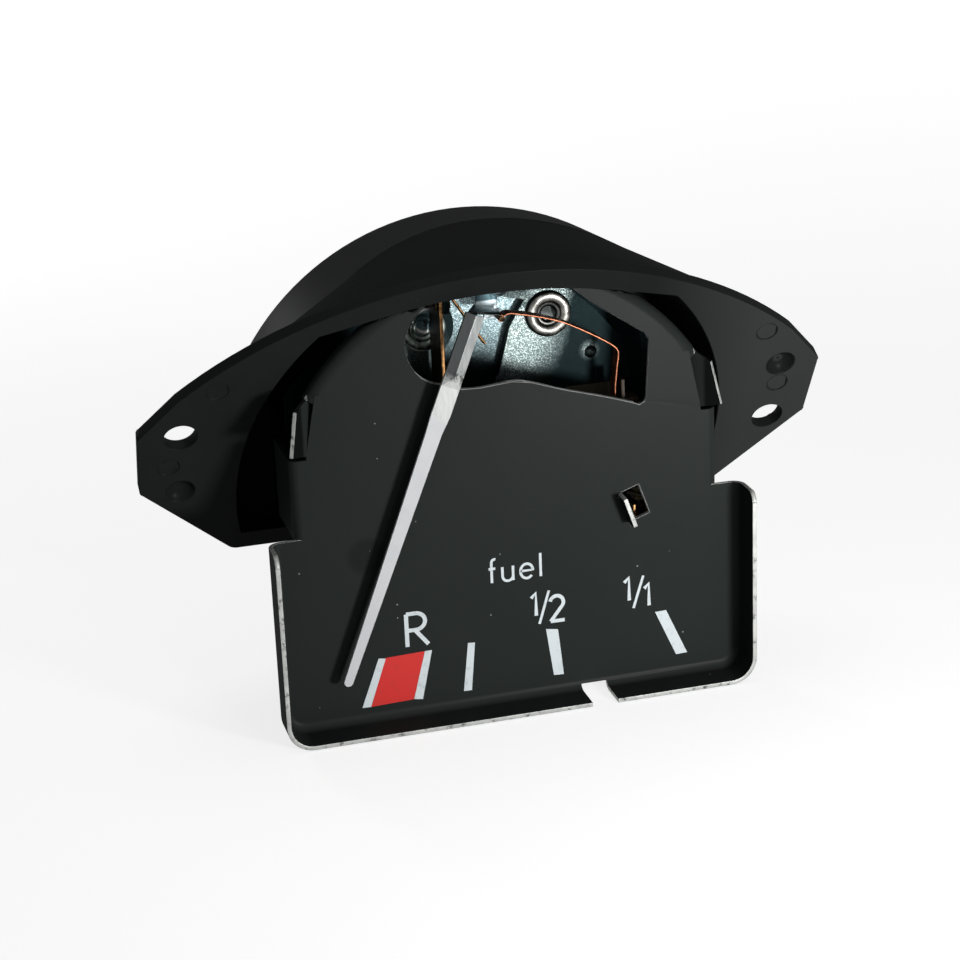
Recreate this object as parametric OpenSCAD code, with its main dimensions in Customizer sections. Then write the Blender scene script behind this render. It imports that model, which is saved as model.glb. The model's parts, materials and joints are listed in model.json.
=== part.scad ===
// Fuel gauge of the heated-strip kind, for the lower part of a round speedometer.
// Millimetres, X to the driver's right, Y away from the driver, Z up.
// Every shape is drawn with the dial's printed face on y = 0 and the lowest edge of
// the dial on z = 0, and is then moved so that the origin is the middle of the line
// between the two fixing holes of the housing's flange.

/* [Flange and housing] */
// Angle by which the flange leans its top towards the driver
flange_tilt = 29; // [20:1:35]
// Radius of the flange's top edge, which follows the speedometer's can
flange_arc_r = 51; // [49:0.5:56]
// Thickness of the moulded flange
flange_t = 1.5; // [1.2:0.1:2]
// Half the width of the flange at its widest corners
flange_half = 38.9; // [38.2:0.1:41]
// Height of the band that crosses above the dial
band_h = 2.75; // [2.4:0.05:3]
// Half the distance across between the fixing holes
hole_half = 34.3; // [33.6:0.1:34.8]
// Height of the left fixing hole above the middle of the pattern
hole_rise = 4.3; // [3.8:0.1:4.8]
// Radius of the fixing holes
hole_r = 1.8; // [1.4:0.05:2]
// Outer radius of the drum at the plane of the dial
drum_r = 30.43; // [30.1:0.05:31.5]
// Depth from the dial's face to the outside of the rear wall
drum_back = 20; // [19:0.5:24]
// Wall of the housing
wall = 1.5; // [1.2:0.1:1.7]

/* [Dial] */
// Thickness of the dial's sheet
sheet = 0.5; // [0.4:0.05:0.6]
// Outer width of the dial between its side rims
dial_w = 54; // [53:0.25:54.5]
// Height of the side rims
rim_top = 22.7; // [21.5:0.1:23.4]
// How far the rim stands forward of the dial's face
rim_depth = 4.3; // [3:0.1:5]
// Outer radius of the dial's lower corners
rim_corner = 3; // [2.2:0.1:4]
// Inner radius of the bend between face and rim
rim_bend = 1; // [0.6:0.1:1.3]
// Half the width of the dial above the rims
upper_half = 24; // [23.8:0.1:24.3]
// Radius of the dial's round top with its rolled edge
crown_r = 26.2; // [26:0.1:26.5]
// Radius of the rolled edge
roll_r = 1.3; // [1.1:0.1:1.5]
// Angle by which the two ears are bent towards the driver
ear_bend = 43; // [30:1:55]
// Length of each ear from its bend
ear_len = 2.6; // [2.2:0.1:3]

/* [Movement] */
// Height of the pointer's pivot above the dial's lowest edge
pivot_z = 47.7; // [47.5:0.05:47.8]
// Radius of the pivot pin
pin_r = 0.4; // [0.35:0.01:0.45]
// Gap all round in each turning fit
fit_gap = 0.06; // [0.03:0.01:0.08]
// Angle of the pointer from straight down when the tank is empty
rest_angle = 21.8; // [21.5:0.1:23]
// Distance of the pointer's middle line from the pivot
pointer_offset = 2.69; // [2.5:0.01:2.8]
// Length of the pointer from the level of the pivot to its tip
pointer_reach = 46.2; // [44:0.1:46.4]
// Width of the pointer below its folded head
pointer_w = 1.85; // [1.6:0.05:1.95]
// Width of the pointer just above its tip
tip_w = 1; // [0.8:0.05:1.3]
// Thickness of the movement's frame plate
frame_t = 1; // [0.8:0.1:1.2]
// Thickness of the two adjusting arms
arm_t = 0.8; // [0.7:0.05:0.9]
// Outer radius of the rolled eyelet heads
eyelet_r = 2.6; // [2.3:0.05:2.8]
// Distance of each eyelet from the middle
eyelet_x = 7.1; // [6.9:0.05:7.3]
// Height of the two eyelets
eyelet_z = 42.5; // [42.3:0.05:42.7]

/* [Bimetal and heater] */
// Thickness of the bimetal strip
strip_t = 0.4; // [0.3:0.05:0.45]
// Width of the compensating leg, front to back
strip_w = 4.6; // [4.4:0.05:4.8]
// Width of the heated leg under its winding
hot_w = 3.6; // [3.2:0.1:3.7]
// Bottom of the U that the bimetal makes
strip_foot = 18.6; // [18.4:0.1:19.5]
// Top of the heated leg
hot_top = 35.4; // [35:0.1:35.8]
// Turns in the heater's winding
turns = 12; // [8:1:12]
// Diameter of the winding's covered wire
wire_d = 0.36; // [0.3:0.01:0.4]
// Rise of the winding in one turn
wire_pitch = 0.84; // [0.8:0.01:0.86]
// Thickness of the glass tape under the winding
tape_t = 0.5; // [0.3:0.05:0.55]

/* [Terminals] */
// Width of each flat terminal
blade_w = 6.3; // [4.8:0.1:6.3]
// Thickness of each flat terminal
blade_t = 0.8; // [0.6:0.1:0.8]
// How far the terminals stand out behind the housing
blade_out = 8.2; // [7:0.1:9]

/* [Hidden] */
$fn = 64;

// Far enough to cut right through anything here.
far = 80;
// Gap that keeps parts of different moving bodies apart.
free = 0.35;
// Play in front of and behind each adjusting arm.
side_play = 0.05;

// The flange's plane: its middle point at mid-height of the drum, then its outline in
// distances across and up the plane. Positive depth is towards the rear.
plane_y = 11.52;
plane_z = 25;
plane_s = sin(flange_tilt);
plane_c = cos(flange_tilt);
arc_drop = 22.2;
pattern_v = 5.45;
shoulder = [32.2, 18.2];
tip_high = [flange_half, 10.1];
tip_low = [flange_half - 0.15, 1.5];
foot_corner = [28.3, -9.7];
opening_r = flange_arc_r - band_h;
// The row's origin, on the front face of the flange, halfway between the holes.
origin_y = plane_y - pattern_v * plane_s;
origin_z = plane_z + pattern_v * plane_c;

// The drum narrows towards the rear and its floor is flat.
drum_z = 23.67;
drum_draft = 0.0766;
drum_round = 2;
floor_z = 17.3;
inner_back = drum_back - wall;
// The sloping roof meets the drum on a leaning plane through this point.
roof_y = 5.44;
roof_z = 50;
roof_lean = 0.91;
roof_from = 45.6;

// The dial's top edge keeps clear under the sloping roof.
clip_r = 41.35;
clip_z = 6.8;
crown_z = 24;
side_low = 22.7;
side_high = 31.6;
// Ends of the line on which each ear is bent, and the angle where the rolled edge starts.
ear_from = [22.15, 32];
ear_to = [20.8, 38.6];
roll_from = 33;
wing_out = sheet + 0.5;

// Planes of the movement, front to rear.
pointer_y = -1.9;
pointer_t = 0.35;
strip_y = 1.8;
arm_y = 7.2;
washer_t = 0.4;
frame_y = arm_y + arm_t + washer_t;
eyelet_barrel = 1.6;
hub_y = 1.2;
leaf_y = 2.6;
leaf_w = 1.6;
leaf_t = 0.15;
link_at = [0.55, 43.85];
link_pin_r = 0.18;
link_eye_r = 0.38;
screw_x = 19;
screw_z = 27;
tab_x = 20.5;
tab_z = 26.1;
strip_left = -6.5;
strip_top = 46.9;
lug_rivet_z = 46.15;
lug_rivet_y = [strip_y + 1.3, strip_y + 3.3];
hot_x = 15.4;
flex_x = hot_x + strip_t / 2;
fold_r = strip_t * 1.5 + free;
foot_rivet_z = strip_foot + 1.5;
flex_z = strip_foot + fold_r;
hot_y = 2.4;
tongue_x = 13.8;
blade_x = 8;
lug_front = 14.6;
blade_z = 36;

// Unit vector along v.
function unit(v) = v / norm(v);

// Sine of half the angle at corner b between its neighbours a and c.
function half_sin(a, b, c) = sqrt((1 - unit(a - b) * unit(c - b)) / 2);

// Half the angle's cosine at the same corner.
function half_cos(a, b, c) = sqrt((1 + unit(a - b) * unit(c - b)) / 2);

// A convex outline with rounded corners: the points where its arcs begin and end are
// joined, and a full circle fills each corner.
module rounded(points, radii) {
  n = len(points);
  polygon([for (i = [0:n - 1])
    let (a = points[(i + n - 1) % n], b = points[i], c = points[(i + 1) % n])
    let (t = radii[i] * half_cos(a, b, c) / half_sin(a, b, c))
    each [b + unit(a - b) * t, b + unit(c - b) * t]]);
  for (i = [0:n - 1]) {
    a = points[(i + n - 1) % n];
    b = points[i];
    c = points[(i + 1) % n];
    middle = unit(unit(a - b) + unit(c - b));
    if (radii[i] > 0) {
      translate(b + middle * radii[i] / half_sin(a, b, c)) circle(r = radii[i]);
    }
  }
}

// A smooth curve through the points, with the given steps between neighbours.
function curve(p, steps) = [for (i = [0:len(p) - 2]) for (k = [0:steps - 1])
  let (a = p[max(i - 1, 0)], b = p[i], c = p[i + 1], d = p[min(i + 2, len(p) - 1)], t = k / steps)
  (2 * b + (c - a) * t + (2 * a - 5 * b + 4 * c - d) * t * t + (3 * b - a - 3 * c + d) * t * t * t) / 2,
  p[len(p) - 1]];

// Extrudes an outline drawn in X and Z from y to y + t.
module plate(y, t) {
  translate([0, y + t, 0]) rotate([90, 0, 0]) linear_extrude(t) children();
}

// A round bar along Y, from y to y + h, about the point at = [x, z].
module bar(at, y, h, r) {
  translate([at[0], y, at[1]]) rotate([-90, 0, 0]) cylinder(h = h, r = r);
}

// Both hands of a piece.
module both_hands() {
  children();
  mirror([1, 0, 0]) children();
}

// Draws on the flange: X across, Y up the slope, and Z out of its front face.
module on_flange() {
  translate([0, plane_y, plane_z]) rotate([90 + flange_tilt, 0, 0]) children();
}

// Moves the finished piece so that the origin lies between the fixing holes.
module place() {
  translate([0, -origin_y, -origin_z]) children();
}

// The flange's outline in its own plane.
module flange_outline() {
  above = [20, tip_high[1] + (flange_half - 20) * (shoulder[1] - tip_high[1]) / (flange_half - shoulder[0])];
  right = [foot_corner, tip_low, tip_high, above];
  left = [for (i = [3:-1:0]) [-right[i][0], right[i][1]]];
  intersection() {
    rounded(concat(right, left), [1.5, 1, 1.2, 0, 0, 1.2, 1, 1.5]);
    translate([0, -arc_drop]) circle(r = flange_arc_r, $fn = 180);
  }
}

// The drum as a turned solid, shrunk inwards by inset.
module drum_turned(inset, back, round) {
  front = -9;
  r_front = drum_r - inset - front * drum_draft;
  r_back = drum_r - inset - back * drum_draft;
  translate([0, 0, drum_z]) rotate([-90, 0, 0]) rotate_extrude($fn = 120) union() {
    polygon([[0, front], [r_front, front], [r_back + round * drum_draft, back - round],
      [r_back - round, back - round], [r_back - round, back], [0, back]]);
    intersection() {
      translate([r_back - round, back - round]) circle(r = round);
      translate([r_back - round, back - round]) square(round * 2);
    }
  }
}

// Everything behind the plane of the flange at the given depth.
module behind_flange(depth) {
  on_flange() translate([-far / 2, -far / 2, -far - depth]) cube(far);
}

// Everything behind the leaning plane on which the roof meets the drum.
module behind_roof_line() {
  lean = atan(roof_lean);
  translate([0, roof_y, roof_z]) rotate([-lean, 0, 0]) translate([-far / 2, 0, -far / 2]) cube(far);
}

// A thin leaning slice of the drum, from which the roof starts.
module roof_slice(inset, from) {
  lean = atan(roof_lean);
  intersection() {
    translate([0, roof_y, roof_z]) rotate([-lean, 0, 0]) translate([-far / 2, 0, -far / 2])
      cube([far, 0.1, far]);
    translate([0, -9, drum_z]) rotate([-90, 0, 0])
      cylinder(h = 40, r1 = drum_r - inset + 9 * drum_draft, r2 = drum_r - inset - 31 * drum_draft,
        $fn = 96);
    translate([-far / 2, -far / 2, from]) cube(far);
  }
}

// The front edge of the roof, a thin slice of the flange under its top arc.
module roof_front(r, depth, from) {
  on_flange() translate([0, 0, -depth - 0.1]) linear_extrude(0.1) intersection() {
    translate([0, -arc_drop]) circle(r = r, $fn = 160);
    translate([-far / 2, (from - plane_z) / plane_c - 0.4]) square(far);
  }
}

// Outside of the sloping roof.
module roof_outer() {
  hull() {
    roof_front(flange_arc_r - 0.2, flange_t - 0.2, roof_from);
    roof_slice(0.05, roof_from);
  }
}

// Inside of the sloping roof.
module roof_inner() {
  hull() {
    roof_front(opening_r, -0.2, roof_from - 1.5);
    roof_slice(wall + 0.05, roof_from - 1.5);
  }
}

// Outside of the drum behind flange and roof, with its flat floor.
module drum_outer() {
  intersection() {
    drum_turned(0, drum_back, drum_round);
    behind_flange(0.2);
    behind_roof_line();
    translate([-far / 2, -far / 2, floor_z]) cube(far);
  }
}

// The hollow of the drum.
module drum_inner() {
  intersection() {
    drum_turned(wall, inner_back, 0.8);
    behind_roof_line();
    translate([-far / 2, -far / 2, floor_z + wall]) cube(far);
  }
}

// The moulded black housing with its flange.
module housing() {
  color("#1d1e20") place() difference() {
    union() {
      on_flange() translate([0, 0, -flange_t]) linear_extrude(flange_t) flange_outline();
      drum_outer();
      roof_outer();
      // Raised rings behind, around the screws.
      both_hands() bar([screw_x, screw_z], drum_back - 0.3, 0.9, 4);
    }
    drum_inner();
    roof_inner();
    // The two fixing holes, and the dimples beside them that were left blind.
    on_flange() {
      for (side = [-1, 1]) {
        translate([side * hole_half, pattern_v - side * hole_rise, -5]) cylinder(h = 10, r = hole_r);
        translate([side * hole_half, pattern_v + side * hole_rise, 0.85]) sphere(r = 1.9);
      }
      // Round witness marks of the mould's ejector pins.
      for (at = [[-35.6, 5.3], [-30.4, 16.2], [31.6, 15.2], [34.5, 6.6]]) {
        translate([at[0], at[1], -0.12]) cylinder(h = 1, r = 1.2);
      }
    }
    // Screw holes and terminal slots in the rear wall.
    both_hands() {
      bar([screw_x, screw_z], inner_back - 1, 5, 1.6);
      translate([blade_x - blade_t / 2, inner_back - 1, blade_z - blade_w / 2]) cube([blade_t, 5, blade_w]);
    }
  }
}

// Section through the edge of a pressed pan, with its rear corner rounded.
module pan_edge(corner, bend, front, back) {
  square_to = corner - bend;
  translate([0, front]) square([square_to, back - front]);
  translate([0, front]) square([corner, back - bend - front]);
  translate([square_to, back - bend]) intersection() {
    circle(r = bend);
    square(2 * bend);
  }
}

// One pressed pan: a block with rounded lower corners whose rear edges are rounded.
module pan(half, corner, bend, low, top, front, back) {
  side = half - corner;
  translate([-side, front, low + corner]) cube([2 * side, back - front, top - low - corner]);
  translate([-side, 0, low + corner]) rotate([0, 90, 0]) linear_extrude(2 * side)
    pan_edge(corner, bend, front, back);
  both_hands() translate([side, 0, low + corner]) {
    linear_extrude(top - low - corner) pan_edge(corner, bend, front, back);
    rotate([-90, 0, 0]) rotate_extrude(angle = 90) pan_edge(corner, bend, front, back);
  }
}

// The window in the dial, its lower edge and its slanting upper right edge as points
// read off in real sizes.
module window() {
  low_edge = curve([[-7.6, 38.32], [-6.2, 38.0], [-4.84, 37.4], [-2.8, 37.3], [-1.06, 37.45], [0.84, 37.58],
    [2.84, 37.22], [6.5, 35.95], [11, 34.62], [14.2, 33.55], [15.1, 33.2]], 4);
  corner = [15.05, 34.0];
  corner_r = 0.82;
  translate([-6.2, 42.7]) circle(r = 4.6);
  polygon(concat([[-8.5, 60], [-8.5, 40]], low_edge,
    [[corner[0], corner[1] - corner_r], corner, [corner[0] + corner_r, corner[1]],
    [16.3, 40.3], [15.9, 41.1], [11.5, 44.1], [10.1, 45.1], [7.5, 47.3], [7.5, 60]]));
  translate(corner) circle(r = corner_r);
}

// The opening from which the stop tab is bent.
module stop_opening(w, h) {
  translate([14.35, 21.85]) rotate(19) square([w, h], center = true);
}

// Flat outline of the dial above the rims, without the ears and the rolled edge.
module upper_outline() {
  bend_x = upper_half - wing_out;
  translate([-bend_x, rim_top - 1]) square([2 * bend_x, side_high - rim_top + 1]);
  both_hands()
    polygon([[-1, side_high - 1], [ear_from[0], side_high - 1], ear_from, ear_to, [-1, ear_to[1]]]);
  intersection() {
    translate([0, crown_z]) circle(r = crown_r - roll_r, $fn = 120);
    translate([-30, ear_to[1] - 0.2]) square([60, 20]);
  }
}

// One ear, bent forward from the dial's edge along a slightly leaning line.
module ear() {
  along = ear_to - ear_from;
  lean = atan(-along[0] / along[1]);
  half_t = sheet / 2;
  translate([ear_from[0], half_t, ear_from[1]]) rotate([0, -lean, -ear_bend]) {
    plate(-half_t, sheet) polygon([[0, 0], [ear_len, 0], [ear_len - 0.2, 4.9], [0, norm(along)]]);
    cylinder(h = norm(along), r = half_t);
  }
}

// One wing behind the dial's side, with the foot that rests on the movement's frame.
module wing() {
  inner = sheet;
  foot_x = 18.2;
  translate([upper_half - wing_out, wing_out, side_low]) intersection() {
    difference() {
      cylinder(h = side_high - side_low, r = wing_out);
      translate([0, 0, -1]) cylinder(h = far, r = inner);
    }
    translate([0, -wing_out, 0]) cube([wing_out, wing_out, far]);
  }
  translate([upper_half - sheet, wing_out - 0.01, side_low])
    cube([sheet, frame_y - wing_out + 0.01, side_high - side_low]);
  translate([foot_x, frame_y - sheet, side_low + 0.4])
    cube([upper_half - foot_x, sheet, side_high - side_low - 0.8]);
}

// The pressed dial with rims, ears, rolled crown, window and stop tab.
module dial_plate() {
  half = dial_w / 2;
  color("#3b4b4d") place() difference() {
    union() {
      difference() {
        pan(half, rim_corner, rim_bend + sheet, 0, rim_top, -rim_depth, sheet);
        difference() {
          pan(half - sheet, rim_corner - sheet, rim_bend, sheet, rim_top + 1, -rim_depth - 1, 0);
          translate([-far / 2, -0.001, -1]) cube([far, 1, far]);
        }
      }
      intersection() {
        union() {
          plate(0, sheet) upper_outline();
          translate([0, roll_r, crown_z]) rotate([90, 0, 0]) both_hands()
            rotate([0, 0, roll_from]) rotate_extrude(angle = 45, $fn = 120) translate([crown_r - roll_r, 0])
              intersection() {
                difference() {
                  circle(r = roll_r);
                  circle(r = roll_r - sheet);
                }
                square(roll_r);
              }
        }
        plate(-1, 6) translate([0, clip_z]) circle(r = clip_r, $fn = 160);
      }
      both_hands() {
        ear();
        wing();
      }
      // The stop tab, bent forward along the left edge of its opening.
      translate([14.35, 0, 21.85]) rotate([0, -19, 0]) translate([-1.05 - sheet, -2.06, -1.8])
        cube([sheet, 2.06 + sheet, 3.6]);
    }
    plate(-1, 3) window();
    plate(-3, 5) stop_opening(2.1, 3.6);
    // Notch in the lower rim.
    translate([7.5, -rim_depth - 1, -1]) cube([2.95, rim_depth + 2, 2]);
    both_hands() {
      // The front upper corner of each side rim is rounded away.
      translate([half - 2, -rim_depth, rim_top]) rotate([0, 90, 0]) difference() {
        cube([2.4, 2.4, 5], center = true);
        translate([1.2, 1.2, 0]) cylinder(h = 6, r = 1.2, center = true);
      }
      bar([tab_x, tab_z], frame_y - 2, 4, 1);
    }
  }
}

// Two screws that hold the dial's feet to the frame.
module dial_screws() {
  color("#b9bbb8") place() both_hands() difference() {
    union() {
      bar([tab_x, tab_z], frame_y - sheet, sheet + frame_t + 0.4, 1);
      bar([tab_x, tab_z], frame_y - sheet - 1, 1, 1.9);
    }
    translate([tab_x - 3, frame_y - sheet - 1.5, tab_z - 0.25]) cube([6, 1, 0.5]);
  }
}

// The zinc-plated frame of the movement, with feet bent back to the rear wall.
module movement_frame() {
  frame_half = 22.6;
  low = 19.4;
  color("#8fa6b3") place() difference() {
    union() {
      plate(frame_y, frame_t)
        rounded([[-frame_half, low], [frame_half, low], [frame_half, 36.5], [12.5, 46.2],
          [-12.5, 46.2], [-frame_half, 36.5]], [1, 1, 2, 3, 3, 2]);
      both_hands() {
        translate([frame_half - frame_t, frame_y, 21]) cube([frame_t, inner_back - frame_y, 12]);
        translate([screw_x - 3.8, inner_back - frame_t, 21]) cube([frame_half - screw_x + 3.8, frame_t, 12]);
      }
    }
    both_hands() {
      bar([eyelet_x, eyelet_z], frame_y - 1, 3, eyelet_barrel);
      bar([tab_x, tab_z], frame_y - 1, 3, 1);
      bar([screw_x, screw_z], inner_back - 3, 4, 1.5);
    }
    // Room for the pivot's riveted end.
    bar([0, pivot_z], frame_y - 1, 3, 2.6);
    // The opening through which the leads come forward.
    plate(frame_y - 1, 3) rounded([[-4, 22.5], [4, 22.5], [4, 26.5], [-4, 26.5]], [1, 1, 1, 1]);
  }
}

// Slotted screws from behind into the frame's feet.
module frame_screws() {
  seat = drum_back + 0.6 + 0.6;
  color("#b4b6b2") place() both_hands() difference() {
    union() {
      bar([screw_x, screw_z], inner_back - frame_t - 1, seat - inner_back + frame_t + 1, 1.5);
      bar([screw_x, screw_z], seat, 1.7, 2.75);
    }
    translate([screw_x - 4, seat + 0.9, screw_z - 0.4]) cube([8, 2, 0.8]);
  }
}

// Washers under the screws' heads.
module frame_washers() {
  color("#a3a6a3") place() both_hands() difference() {
    bar([screw_x, screw_z], drum_back + 0.6, 0.6, 3.4);
    bar([screw_x, screw_z], drum_back, 2, 1.5);
  }
}

// Two tubular eyelets on which the adjusting arms turn.
module arm_eyelets() {
  front = arm_y - side_play;
  back = frame_y + frame_t;
  color("#c6cbca") place() both_hands()
    translate([eyelet_x, 0, eyelet_z]) rotate([-90, 0, 0]) rotate_extrude() union() {
    // The barrel with its blind middle, and the flat of the head.
    polygon([[0, front + 0.1], [0.8, front + 0.1], [1, front - 0.15], [1.35, front - 0.2],
      [eyelet_r - 0.3, front - 0.2], [eyelet_r - 0.05, front], [eyelet_barrel, front],
      [eyelet_barrel, back], [eyelet_r - 0.2, back],
      [eyelet_r - 0.2, back + 0.35], [1.1, back + 0.35], [1.1, front + 0.6], [0, front + 0.6]]);
    // The rolled rim that stands forward of it.
    translate([1.97, front - 0.2]) intersection() {
      scale([1, 0.5]) circle(r = 0.62);
      translate([-1, -1]) square([2, 1.05]);
    }
  }
}

// Spring washers between the arms and the frame.
module spring_washers() {
  color("#9aa09f") place() both_hands() difference() {
    bar([eyelet_x, eyelet_z], arm_y + arm_t + side_play, washer_t - side_play, 3);
    bar([eyelet_x, eyelet_z], arm_y, 4, eyelet_barrel);
  }
}

// The arm that carries the pivot and sets the range, with a forked tail behind the dial.
module range_arm() {
  color("#c3c8c6") place() difference() {
    plate(arm_y, arm_t) union() {
      rounded([[1.0, 35.2], [16.2, 35.2], [15.7, 38.6], [12.4, 42.6], [9.7, 45], [7.4, 46.6],
        [5.3, 45.3], [4.3, 44.1], [2.7, 41.5]], [0, 0, 2, 5, 3, 1.2, 1.5, 1, 3]);
      rounded([[-0.4, 30.2], [16.6, 30.2], [16.2, 36], [1.0, 36]], [1, 1, 0, 0]);
      rounded([[3.2, 24.2], [9.4, 24.2], [9.4, 31], [3.2, 31]], [1, 1, 0, 0]);
      // The finger to the pivot.
      rounded([[-1.9, 45.9], [9, 43.2], [9.2, 46], [1.9, 49.3], [-1.9, 49.3]], [1.4, 0, 0, 1, 1.2]);
    }
    bar([eyelet_x, eyelet_z], arm_y - 1, 3, eyelet_barrel + fit_gap);
    bar([0, pivot_z], arm_y - 1, 3, pin_r);
    plate(arm_y - 1, 3) rounded([[5.3, 23], [7.3, 23], [7.3, 29], [5.3, 29]], [0, 0, 1, 1]);
    // A punched dimple on the arm's face.
    translate([11.9, arm_y - 0.3, 37.5]) sphere(r = 0.75);
  }
}

// The pin on which the pointer's hub turns, riveted into the range arm.
module pivot_pin() {
  color("#d3d3cc") place() {
    bar([0, pivot_z], hub_y - side_play - 0.5, arm_y + arm_t + 0.3 - hub_y + side_play + 0.5, pin_r);
    bar([0, pivot_z], hub_y - side_play - 0.5, 0.5, 0.75);
    bar([0, pivot_z], arm_y + arm_t, 0.35, 0.9);
  }
}

// Turns a drawing with the pivot as its zero and the pointer straight down into the
// empty position, in the plane of the dial.
module at_rest() {
  translate([0, pivot_z]) rotate(-rest_angle) translate([-pointer_offset, 0]) children();
}

// The folded upper part, a ridge towards the driver.
module ridge(w, rise) {
  polygon([[-w / 2, pointer_t], [-w / 2, 0], [0, -rise], [w / 2, 0], [w / 2, pointer_t],
    [0, pointer_t - rise]]);
}

// The aluminium pointer: folded head, flattened neck and tapering blade.
module pointer() {
  head_top = 2.9;
  head_end = 9.9;
  flat_from = 11.2;
  tip_r = tip_w / 2;
  color("#dfe2e0") place() {
    plate(pointer_y, pointer_t) at_rest() union() {
      polygon([[-0.62, -flat_from + 0.4], [-pointer_w / 2, -flat_from - 3], [-tip_r, -pointer_reach + tip_r],
        [tip_r, -pointer_reach + tip_r], [pointer_w / 2, -flat_from - 3], [0.62, -flat_from + 0.4]]);
      translate([0, -pointer_reach + tip_r]) circle(r = tip_r);
    }
    translate([0, pointer_y, pivot_z]) rotate([0, rest_angle, 0]) translate([-pointer_offset, 0, 0]) {
      translate([0, 0, -head_end]) linear_extrude(head_end - head_top) ridge(1.9, 0.6);
      hull() {
        translate([0, 0, -head_end]) linear_extrude(0.02) ridge(1.9, 0.6);
        translate([0, 0, -flat_from]) linear_extrude(0.02) translate([-0.65, 0]) square([1.3, pointer_t]);
      }
    }
  }
}

// The hub on the pivot: a sleeve, a plate down its rear end, an arm folded forward
// under the pivot and a post from the arm to the head of the pointer.
module pointer_hub() {
  plate_t = 0.4;
  arm_thick = 0.28;
  arm_back = 6;
  sleeve_r = 1;
  arm_z = [45.06, 44.5];
  arm_x = [-3.2, 0.38];
  tilt = atan((arm_z[0] - arm_z[1]) / (arm_x[1] - arm_x[0]));
  color("#c9cbc7") place() difference() {
    union() {
      bar([0, pivot_z], hub_y, arm_back - hub_y, sleeve_r);
      plate(arm_back - plate_t, plate_t)
        polygon([[-1, pivot_z], [1, pivot_z], [0.95, link_at[1] + 0.2], [link_at[0] + 0.35, link_at[1] - 0.4],
          [-0.2, link_at[1] - 0.3], [-1.5, 44.6]]);
      // The arm, seen from above as a four-sided plate with a slanting left end.
      translate([arm_x[1], 0, arm_z[1]]) rotate([0, tilt, 0])
        translate([0, 0, -arm_thick])
          linear_extrude(arm_thick)
          polygon([[arm_x[0] - arm_x[1], leaf_y], [0, leaf_y], [0, arm_back], [-2, arm_back]]);
      // Cheek behind the link's eye.
      plate(leaf_y + leaf_w + 0.15, 0.5)
        rounded([[-0.9, 43.5], [link_at[0] + 0.4, 43.4], [link_at[0] + 0.4, 44.4], [-0.9, 44.55]],
          [0.2, 0.3, 0.1, 0.1]);
      translate([-0.4, leaf_y + leaf_w + 0.15, 43.6]) cube([0.7, arm_back - leaf_y - leaf_w - 0.15, 0.8]);
      hull() {
        translate([-4.1, pointer_y + pointer_t + 0.02, 44.6]) cube([0.8, 0.2, 0.8]);
        translate([-2.9, leaf_y, 44.5]) cube([0.8, 0.2, 0.35]);
      }
    }
    bar([0, pivot_z], hub_y - 1, 8, pin_r + fit_gap);
    bar(link_at, leaf_y + leaf_w, 1, link_pin_r);
  }
}

// The small pin that joins the arm of the hub to the link.
module link_pin() {
  color("#d0c7a2") place() {
    bar(link_at, leaf_y - 0.25, leaf_w + 0.75, link_pin_r);
    bar(link_at, leaf_y - 0.25, 0.2, 0.3);
  }
}

// Points along the link, from its eye over the top of the window to the heated leg.
link_points = [link_at + [0.06, 0.03], [1.25, 44.28], [2.3, 44.14], [4.6, 43.57],
  [7.14, 42.73], [9.4, 41.6], [11.66, 40.27], [12.94, 39.4], [13.5, 38.85], [13.63, 38.2],
  [13.47, 37.05], [13.27, 35.35], [13.18, 34.6], [13.17, 33.4]];

// The copper link leaf, on edge, with an eye round the pin.
module link_leaf() {
  route = curve(link_points, 4);
  n = len(route);
  function side(i) = let (d = unit(route[min(i + 1, n - 1)] - route[max(i - 1, 0)])) [-d[1], d[0]];
  upper = [for (i = [0:n - 1]) route[i] + side(i) * leaf_t / 2];
  lower = [for (i = [n - 1:-1:0]) route[i] - side(i) * leaf_t / 2];
  color("#b5683c") place() difference() {
    plate(leaf_y, leaf_w) union() {
      polygon(concat(upper, lower));
      translate(link_at) circle(r = link_eye_r);
    }
    bar(link_at, leaf_y - 1, 4, link_pin_r + fit_gap);
  }
}

// The arm that sets zero, with a lug bent forward for the compensating leg.
module zero_arm() {
  lug_x = strip_left + strip_t;
  lug_low = 45.25;
  color("#b9bfbd") place() difference() {
    union() {
      plate(arm_y, arm_t) union() {
        translate([-eyelet_x, eyelet_z]) circle(r = 3.5);
        rounded([[-14.5, 30.4], [-8.5, 30.4], [-4.2, 41], [-4.6, 47.4], [-9.2, 47], [-11.4, 41]],
          [1, 1, 3, 0.8, 2, 3]);
        rounded([[-13.6, 24.4], [-9.6, 24.4], [-9.6, 32], [-13.6, 32]], [1, 1, 0, 0]);
      }
      translate([lug_x, strip_y, lug_low])
        cube([arm_t, arm_y + arm_t - strip_y, strip_top + 0.2 - lug_low]);
    }
    bar([-eyelet_x, eyelet_z], arm_y - 1, 3, eyelet_barrel + fit_gap);
    lug_rivet_bores();
  }
}

// A bend in the strip with the outer radius r, between two angles in the dial's plane.
module bent_strip(r, from, to) {
  plate(0, strip_w) difference() {
    intersection() {
      circle(r = r);
      polygon([[0, 0], for (k = [0:4]) let (a = from + (to - from) * k / 4) 3 * r * [cos(a), sin(a)]]);
    }
    circle(r = r - strip_t);
  }
}

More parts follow.
